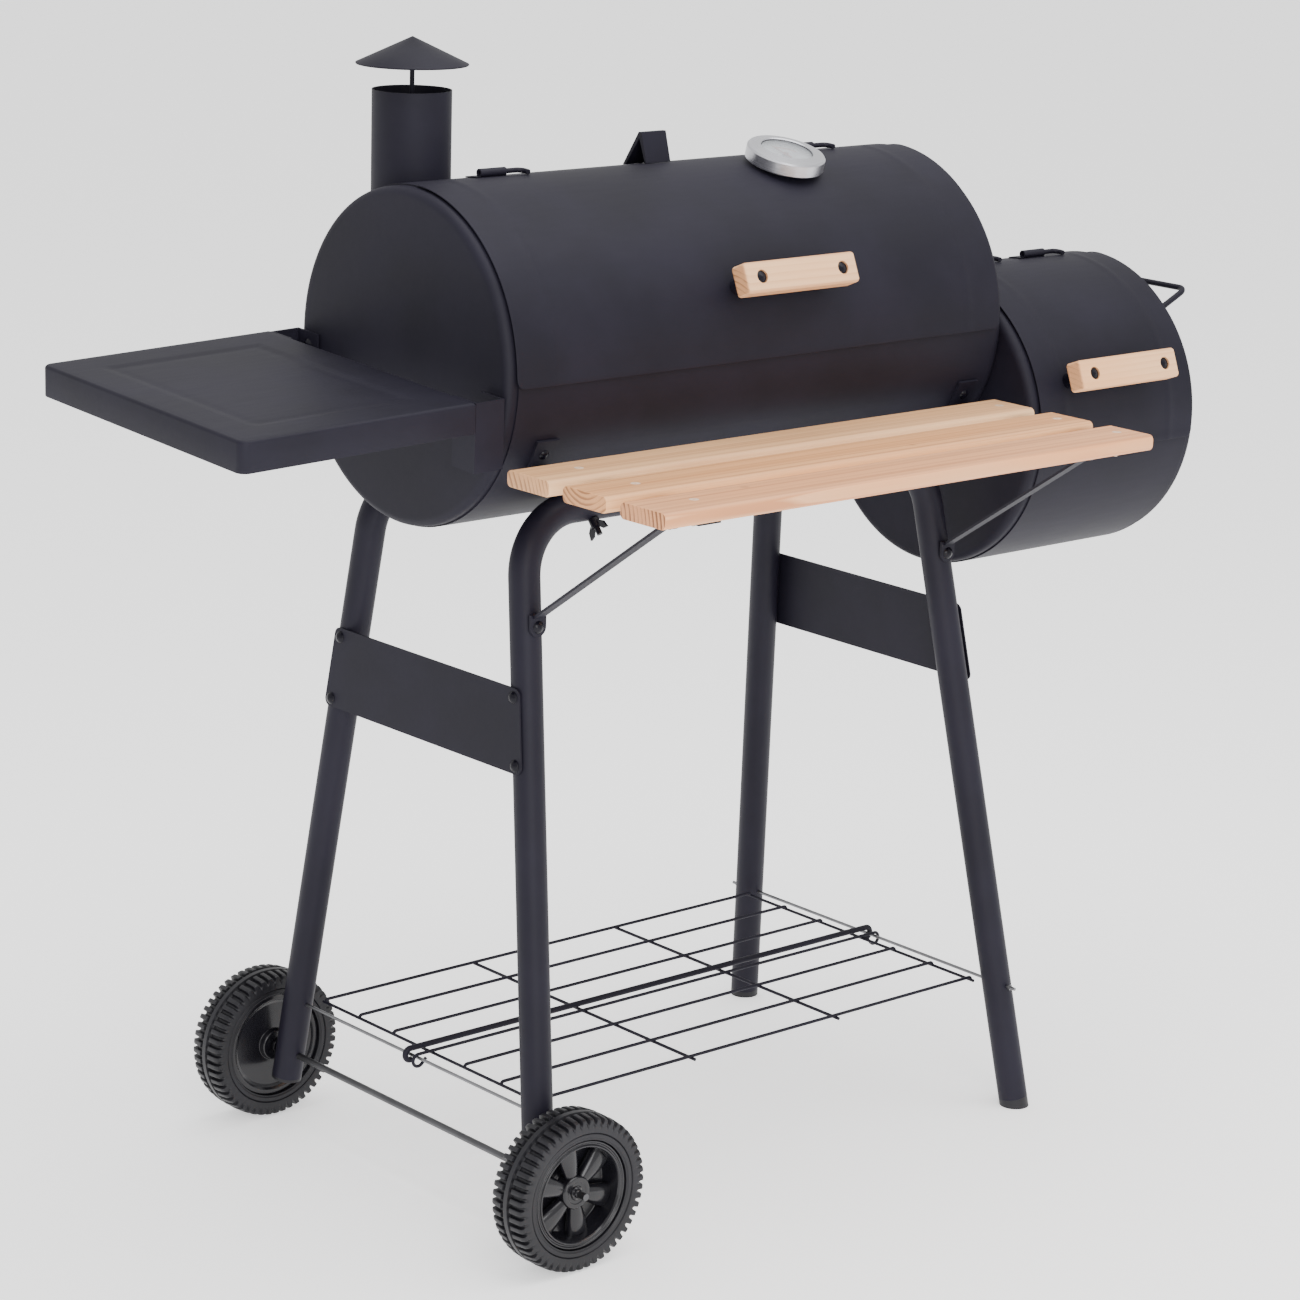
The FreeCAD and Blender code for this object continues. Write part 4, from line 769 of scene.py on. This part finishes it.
class SMOKER_OT_handles(Step):
    """The two pine handles on their stand-offs, with sunk bolts."""
    bl_idname = "smoker.handles"
    bl_label = "Handles"

    def execute(self, context):
        dress("lid handle", "lid_handle")
        dress("firebox handle", "firebox_handle")
        dress("rod coating", "lid_handle_standoffs")
        dress("screw coating", "lid_handle_bolts", "firebox_handle_fixings")
        return {"FINISHED"}


class SMOKER_OT_gauge(Step):
    """The round thermometer: brushed case and bezel, dial, needle, stem and glass."""
    bl_idname = "smoker.gauge"
    bl_label = "Thermometer"

    def execute(self, context):
        base, out = gauge_frame()
        top, rim = GAUGE_HEIGHT, GAUGE_R
        section = [(3.2, 0), (rim - 0.6, 0), (rim, 1.0), (rim, top - 1.6), (rim - 1.2, top),
                   (27.0, top + 1.7), (25.8, top + 1.9), (25.0, top + 1.2), (25.0, top + 0.6),
                   (rim - 2.4, top - 1.4), (rim - 1.2, top - 2.0), (rim - 1.2, 1.2), (3.2, 1.2), (3.2, 0)]
        make_piece("gauge_case", turned(section, base, out, 128), "bezel", ["thermometer_case"], 25)
        half = DIAL_WIDTH / 2
        plate = [(3.2, 7.6), (10, 7.6), (20, 7.6), (half, 7.6), (half, 7.0), (3.2, 7.0), (3.2, 7.6)]
        dial = make_piece("gauge_dial_face", turned(plate, base, out, 96), "dial", ["thermometer_dial"], 30)
        add_face_map(dial, base * MM + ORIGIN, out, DIAL_WIDTH * MM)
        pane = [(0, 11.8), (24.6, 11.8), (24.8, 12.0), (24.8, 12.8), (23.8, 13.3), (12, 13.5), (0, 13.5)]
        make_piece("gauge_pane", turned(pane, base, out, 96), "glass", ["thermometer_glass"], 30)
        dress("needle", "thermometer_needle")
        dress("rod steel", "thermometer_stem")
        return {"FINISHED"}


def add_face_map(piece, centre, out, width):
    """A UV map called face: u and v run across a round face from 0 to 1, v towards the uphill side."""
    first, second = frame_of(out)[1:]
    mesh = piece.data
    points = np.empty(len(mesh.vertices) * 3, np.float32)
    mesh.vertices.foreach_get("co", points)
    offset = points.reshape(-1, 3) - centre
    corners = np.empty(len(mesh.loops), np.int32)
    mesh.loops.foreach_get("vertex_index", corners)
    spots = np.column_stack([offset @ first, offset @ second])[corners] / width + 0.5
    mesh.uv_layers.new(name="face").data.foreach_set("uv", spots.astype(np.float32).ravel())


class SMOKER_OT_side_table(Step):
    """The pressed side table, hanging a little low at its front and outer edges, and its brackets."""
    bl_idname = "smoker.side_table"
    bl_label = "Side table"

    def execute(self, context):
        x0, x1, half, skirt = -276.0, -32.0, 154.0, 28.0
        middle, wide = (x0 + x1) / 2, (x1 - x0) / 2
        # (how far in from the outer edge, height) from the middle of the top, over the edge and back inside
        top = [(wide, -0.7), (80.0, -0.7), (56.0, -0.7), (50.0, -0.75), (46.0, -1.1), (42.0, -0.9),
               (38.0, -0.1), (34.0, 0.0), (20.0, 0.0), (10.0, 0.0)]
        edge = [(3.0 - 3.0 * math.sin(a), -3.0 + 3.0 * math.cos(a)) for a in np.linspace(0, math.pi / 2, 7)]
        outside = [(0.0, -10.0), (0.0, -skirt + 0.6), (0.3, -skirt)]
        inside = [(0.9, -skirt), (1.2, -skirt + 0.6), (1.2, -10.0), (1.2, -3.0), (3.0, -1.2), (10.0, -1.2),
                  (34.0, -1.2), (46.0, -2.3), (56.0, -1.9), (80.0, -1.9), (wide, -1.9)]
        rings = []
        for inset, height in top + edge + outside + inside:
            reach = np.array([wide, half]) - min(inset, wide - 0.01)
            radius = max(9.0 - inset, 0.0) if inset < 8 else min(9.0, reach[0] * 0.5)
            radius = max(radius, 1.2 if reach[0] > 3 else 0.002)
            tight = min(radius, 1.5)
            loop = soften(reach * SQUARE, [radius, tight, tight, radius], 9, closed=True)
            rings.append(np.column_stack([loop + (middle, 0), np.full(len(loop), TABLE_Z + height)]))
        points, faces = loft(rings)
        points = turn_about(points, (0, 0, TABLE_PIVOT_Z), "Y", -1.8)
        points = turn_about(points, (0, 0, TABLE_Z), "X", 3.2)
        make_piece("side_table_pan", (points, faces), "paint", ["side_table"], 35)
        dress("paint", "table_brackets")
        return {"FINISHED"}


class SMOKER_OT_shelf(Step):
    """Three pine slats with rounded long edges on two flat-bar arms with diagonal struts."""
    bl_idname = "smoker.shelf"
    bl_label = "Front shelf"

    def execute(self, context):
        long, wide, thick = SLAT
        under, floor = thick + 2.5, thick + 8.0
        head = [(0, -1.2), (0.8, -1.2), (1.3, 0.10), (3.6, 0.16), (4.4, 0.04), (4.2, -0.4), (2.0, -2.6),
                (2.0, -floor + 0.4), (1.6, -floor), (0, -floor)]
        nut = [(2.0, -3.6), (3.4, -3.6), (3.8, -3.2), (3.8, -0.8), (3.4, -0.4), (2.0, -0.4), (2.0, -3.6)]
        screws = []
        for index, name in enumerate(("back", "middle", "front")):
            y = SLAT_BACK - index * SLAT_STEP - wide / 2
            points, faces = rounded_slat(long, wide, thick, 5.0)
            board = points + (296.0, y, SHELF_Z - thick / 2), faces
            make_piece("slat_" + name, board, name + " slat", ["shelf_slat_" + name], 50)
            for x in (53.0, 577.0):
                screws += [turned(head, (x, y, SHELF_Z), UP, 32), turned(nut, (x, y, SHELF_Z - under), UP, 6)]
        dress("paint", "shelf_arms", "shelf_struts")
        make_piece("slat_screws", gather(*screws), "plated screw", ["shelf_screws"], 30)
        dress("screw coating", "arm_screws")
        return {"FINISHED"}


def rounded_slat(long, wide, thick, radius):
    """A board with its long edges rounded and its sawn ends just broken, as rings along X."""
    place = np.array([0.0, 0.25, 0.8, 20.0])
    inset = np.array([0.7, 0.2, 0.0, 0.0])
    middle = np.linspace(-long / 2 + 40, long / 2 - 40, 24)
    place = np.concatenate([-long / 2 + place, middle, (long / 2 - place)[::-1]])
    inset = np.concatenate([inset, np.zeros(24), inset[::-1]])
    rings = []
    for x, draw in zip(place, inset):
        half = np.array([wide / 2 - draw, thick / 2 - draw])
        section = soften(half * SQUARE, radius - draw, 10, closed=True)
        rings.append(np.column_stack([np.full(len(section), x), section]))
    return loft(rings)


def leg_point(side, depth, z):
    """The middle of a leg at a height: side 0 is left and 1 right, depth -1 is front and 1 back."""
    drop = FRAME_TOP - z
    x = LEFT_TOP_X - LEFT_LEAN * drop if side == 0 else RIGHT_TOP_X + RIGHT_LEAN * drop
    return np.array([x, depth * (FRAME_TOP_Y + SPLAY * drop), z])


class SMOKER_OT_stand(Step):
    """Two bent-tube leg frames, their end plugs and the two cross plates."""
    bl_idname = "smoker.stand"
    bl_label = "Stand"

    def execute(self, context):
        for depth, name in ((-1, "front"), (1, "rear")):
            ends = [leg_point(0, depth, 50.0), leg_point(0, depth, FRAME_TOP), leg_point(1, depth, FRAME_TOP),
                    leg_point(1, depth, 9.0)]
            tube = sweep(soften(ends, BEND_R, 26), TUBE_R, 56)
            make_piece(name + "_leg_tube", tube, "tube paint", [name + "_leg_frame"], 50)
        dress("plug", "leg_caps")
        dress("paint", "left_cross_plate", "right_cross_plate")
        return {"FINISHED"}


class SMOKER_OT_fasteners(Step):
    """Screws, bolts, nuts and wing nuts."""
    bl_idname = "smoker.fasteners"
    bl_label = "Fasteners"

    def execute(self, context):
        dress("screw coating", "body_bolts", "leg_screws", "wing_bolts")
        return {"FINISHED"}


def tread_radius(angle, across, lugs, depth):
    """How far a tyre's skin stands out at an angle and a share across its width, from -1 to 1.

    A smooth band stands up round the middle. Each side of it a row of lugs is a steep wave,
    1 / (1 + exp(-k (cos(n a) + c))), that starts past a narrow groove and fades out down the sidewall.
    """
    def step(value, start, run):
        return np.clip((value - start) / run, 0, 1)
    side = np.abs(across)
    lug = 1 / (1 + np.exp(-9.0 * (np.cos(lugs * angle) + 0.30)))
    band = 1 - step(side, 0.13, 0.04)
    row = step(side, 0.24, 0.05) * (1 - step(side, 1.10, 0.14))
    return depth * (0.92 * band + lug * row)


def tyre_shape(depth, settings):
    """A moulded tyre: a section carried round the axle, its skin lifted by tread_radius.

    The section runs from the outer sidewall, over the tread, to the inner one. Its radius is the crown's,
    falling off as a circle past the shoulders; below the shoulders it runs down the sidewall.
    """
    half, outer, inner = 21.0, 73.8, 52.1
    crown, fade, shoulder, drop = 0.72, 0.36, 6.0, 0.9
    lug_depth = settings.lug_depth / MM
    base = outer - lug_depth
    angle = full_turn(settings.lugs * 12)
    tread = np.linspace(-crown, crown, 42)
    bend = np.linspace(0, np.pi / 2, 9)[1:]
    side = np.array([
        (half - 0.1, base - 9.0, 1.12), (half - 0.2, base - 10.5, 1.3), (half - 1.4, base - 11.2, 1.3),
        (half - 0.6, base - 12.0, 1.3), (half - 0.6, inner + 2.2, 1.3), (half - 1.6, inner + 1.0, 1.3),
        (half - 1.6, inner, 1.3)])
    # from the middle of the tread outwards: place across, radius, and the share that the lugs follow
    width = np.concatenate([tread * half, crown * half + shoulder * np.sin(bend) * 0.98, side[:, 0]])[21:]
    radius = np.concatenate([base - drop * (tread / crown) ** 2, base - drop - shoulder * (1 - np.cos(bend)),
                             side[:, 1]])[21:]
    share = np.concatenate([tread, crown + fade * bend / (np.pi / 2), side[:, 2]])[21:]
    width = np.concatenate([-width[::-1], width])
    radius = np.concatenate([radius[::-1], radius])
    share = np.concatenate([-share[::-1], share])
    lift = tread_radius(angle[:, None], share[None], settings.lugs, lug_depth)
    over = np.clip((np.abs(share) - crown) / fade, 0, 1)[None] * np.pi / 2
    skin = radius[None] + lift * np.cos(over)
    out = width[None] + np.sign(width)[None] * np.minimum(lift * np.sin(over), half - np.abs(width)[None])
    rings = np.stack([AXLE_X + skin * np.cos(angle)[:, None], depth * (WHEEL_Y + out),
                      AXLE_Z + skin * np.sin(angle)[:, None]], -1)
    return loft(rings, wrap=True)


def hub_shape(depth, settings):
    """A dished hub: a double rim ring, a bowl with a closed back, a flat boss and half-round ribs."""
    centre, out = (AXLE_X, depth * WHEEL_Y, AXLE_Z), (0, depth, 0)
    back = [(3.5, -19.0), (14.0, -19.0), (15.0, -18.0), (16.0, -13.0), (42.0, -13.0), (45.0, -14.5),
            (47.0, -16.6), (51.8, -16.6)]
    rim = [(51.9, 16.4), (50.6, 18.4), (49.4, 18.4), (48.6, 17.2), (47.4, 17.2), (46.6, 18.8), (45.4, 18.8)]
    front = [(44.2, 16.5), (42.4, 4.0), (40.5, -1.0), (20.0, -3.0), (16.6, -2.0), (15.6, 11.0), (14.4, 12.6),
             (10.6, 12.6), (10.0, 12.0), (7.2, 12.0), (3.5, 11.6)]
    bowl = turned(soften(back + rim + front, 0.9, 4, closed=True), centre, out, 120)
    along, first, second = frame_of(out)
    ribs = []
    share = np.linspace(0, 1, 16)[:, None, None]
    wrap = full_turn(32)[None, :, None]
    # a rib is a flattened oval that widens from the boss to the rim's wall and sinks a little on the way
    half_width, half_depth = 5.8 + 6.4 * share ** 0.8, 6.2 + 1.0 * share
    reach, level = 12.0 + 30.6 * share, 4.2 + 1.0 * np.sin(share * np.pi) - 1.6 * share
    for index in range(settings.spokes):
        turn = 2 * np.pi * (index + 0.5) / settings.spokes + 0.18
        ray = math.cos(turn) * first + math.sin(turn) * second
        beside = np.cross(along, ray)
        oval = np.sign(np.sin(wrap)) * np.abs(np.sin(wrap)) ** 0.8
        rings = (np.array(centre) + reach * ray + (level + half_depth * oval) * along
                 + half_width * np.cos(wrap) * beside)
        ribs.append(loft(rings))
    return gather(bowl, *ribs)


def axle_end(depth):
    """A push-on washer with a toothed edge over the axle's domed end, and the collar behind the wheel.

    The washer's face rises and falls with cos 6a towards its edge.
    """
    centre, out = (AXLE_X, depth * WHEEL_Y, AXLE_Z), (0, depth, 0)

    def teeth(radius, angle):
        return 0.45 * np.cos(6 * angle) * np.clip((radius - 4.2) / 2.0, 0, 1)

    washer = [(0, 11.8), (6.6, 11.8), (6.8, 12.6), (6.2, 13.4), (4.4, 13.6), (3.6, 15.6), (2.8, 16.4),
              (0, 16.8)]
    collar = [(3.4, -24.4), (6.8, -24.4), (7.0, -24.2), (7.0, -21.6), (6.8, -21.4), (3.4, -21.4),
              (3.4, -24.4)]
    return gather(turned(washer, centre, out, 72, teeth), turned(collar, centre, out, 48))


class SMOKER_OT_wheels(Step):
    """Two moulded wheels with lugged tyres on a plain axle, held by push-on caps."""
    bl_idname = "smoker.wheels"
    bl_label = "Wheels"

    def execute(self, context):
        settings = context.scene.smoker_wheels
        for depth, name in ((-1, "front"), (1, "rear")):
            make_piece(name + "_tread", tyre_shape(depth, settings), "tyre", [name + "_tyre"], 38)
            make_piece(name + "_dished_hub", hub_shape(depth, settings), "hub", [name + "_hub"], 30)
        dress("axle steel", "axle")
        make_piece("axle_ends", gather(axle_end(-1), axle_end(1)), "hub", ["axle_caps"], 30)
        return {"FINISHED"}


class SMOKER_OT_rack(Step):
    """The wire rack, its cross rods and nuts, and the thick rod across them."""
    bl_idname = "smoker.rack"
    bl_label = "Bottom rack"

    def execute(self, context):
        dress("rod coating", "rack_grid", "rack_centre_rod")
        dress("rod steel", "rack_cross_rods", "rack_rod_nuts")
        return {"FINISHED"}


class SMOKER_OT_grates(Step):
    """Cooking and charcoal grates inside the barrel and the firebox."""
    bl_idname = "smoker.grates"
    bl_label = "Grates"

    def execute(self, context):
        dress("grate enamel", "cooking_grates", "charcoal_grate", "firebox_cooking_grate",
              "firebox_charcoal_grate")
        return {"FINISHED"}


class SMOKER_OT_stage(Step):
    """Floor, soft lights and the camera."""
    bl_idname = "smoker.stage"
    bl_label = "Stage"

    def execute(self, context):
        settings = context.scene.smoker_stage
        scene = context.scene
        recipe = Recipe("pale_floor", Roughness=0.9, Specular_IOR_Level=0.2)
        cloud = recipe.noise(recipe.place(), 0.8, 2.0)
        recipe.set("Base Color", recipe.mix(cloud, tinted(settings.floor, 0.99), settings.floor))
        recipe.set("Emission Color", recipe.mix(cloud, (1.0, 1.0, 1.0), (0.99, 0.99, 0.99)))
        recipe.set("Emission Strength", 0.7)
        mesh = bpy.data.meshes.new("floor")
        mesh.from_pydata([(x * 30.0, y * 30.0, 0) for x, y in SQUARE.tolist()], [], [(0, 1, 2, 3)])
        mesh.materials.append(recipe.material)
        floor = bpy.data.objects.new("floor", mesh)
        scene.collection.objects.link(floor)
        world = bpy.data.worlds.new("studio")
        world.use_nodes = True
        sky = world.node_tree.nodes["Background"].inputs
        sky["Color"].default_value = (1.0, 1.0, 1.0, 1.0)
        sky["Strength"].default_value = 1.15
        scene.world = world
        add_light("overhead_light", (0.2, -0.6, 3.2), (0, 0, 0.6), 3.0, settings.key_power)
        add_light("front_light", (-1.8, -3.2, 1.6), (0, 0, 0.6), 2.0, settings.fill_power)
        add_camera(scene, settings.lens)
        return {"FINISHED"}


def add_light(name, place, target, size, power):
    """A square soft light aimed at a point."""
    light = bpy.data.lights.new(name, "AREA")
    light.shape, light.size, light.energy = "SQUARE", size, power
    lamp = bpy.data.objects.new(name, light)
    lamp.location = place
    lamp.rotation_euler = (Vector(target) - Vector(place)).to_track_quat("-Z", "Y").to_euler()
    bpy.context.scene.collection.objects.link(lamp)


def add_camera(scene, lens):
    """A camera front left and above: its place from the barrel's left end, and its yaw, pitch and roll."""
    place = np.array([-2022.0, -2668.1, 1409.8]) * MM + ORIGIN
    yaw, pitch, roll = (math.radians(angle) for angle in (-41.1076, -14.6854, 1.6516))
    ahead = Vector((-math.sin(yaw) * math.cos(pitch), math.cos(yaw) * math.cos(pitch), math.sin(pitch)))
    level = ahead.cross(Vector((0, 0, 1))).normalized()
    upright = level.cross(ahead)
    right = level * math.cos(roll) + upright * math.sin(roll)
    up = upright * math.cos(roll) - level * math.sin(roll)
    data = bpy.data.cameras.new("camera")
    data.lens, data.sensor_width = lens, 36.0
    data.clip_start, data.clip_end = 0.05, 100.0
    camera = bpy.data.objects.new("camera", data)
    turn = Matrix((right, up, -ahead)).transposed().to_4x4()
    camera.matrix_world = Matrix.Translation(Vector(place)) @ turn
    scene.collection.objects.link(camera)
    scene.camera = camera


class SMOKER_PT_panel(bpy.types.Panel):
    """Lists the settings and the steps."""
    bl_idname = "SMOKER_PT_panel"
    bl_label = "Offset smoker"
    bl_space_type = "VIEW_3D"
    bl_region_type = "UI"
    bl_category = "Smoker"

    def draw(self, context):
        for name in SETTINGS:
            group = getattr(context.scene, name)
            for key in group.__annotations__:
                self.layout.prop(group, key)
        for step in STEPS:
            self.layout.operator(step.bl_idname)


SETTINGS = {"smoker_paint": PaintSettings, "smoker_timber": TimberSettings, "smoker_wheels": WheelSettings,
            "smoker_stage": StageSettings}
STEPS = (SMOKER_OT_barrel, SMOKER_OT_lids, SMOKER_OT_firebox, SMOKER_OT_hinges, SMOKER_OT_chimney,
         SMOKER_OT_handles, SMOKER_OT_gauge, SMOKER_OT_side_table, SMOKER_OT_shelf, SMOKER_OT_stand,
         SMOKER_OT_fasteners, SMOKER_OT_wheels, SMOKER_OT_rack, SMOKER_OT_grates, SMOKER_OT_stage)


def register():
    for group in SETTINGS.values():
        bpy.utils.register_class(group)
    for step in STEPS + (SMOKER_PT_panel,):
        bpy.utils.register_class(step)
    for name, group in SETTINGS.items():
        setattr(bpy.types.Scene, name, bpy.props.PointerProperty(type=group))


def unregister():
    for name in SETTINGS:
        delattr(bpy.types.Scene, name)
    for step in STEPS + (SMOKER_PT_panel,):
        bpy.utils.unregister_class(step)
    for group in SETTINGS.values():
        bpy.utils.unregister_class(group)


def main():
    register()
    for step in STEPS:
        family, name = step.bl_idname.split(".")
        getattr(getattr(bpy.ops, family), name)()
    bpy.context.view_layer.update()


if __name__ == "__main__":
    main()
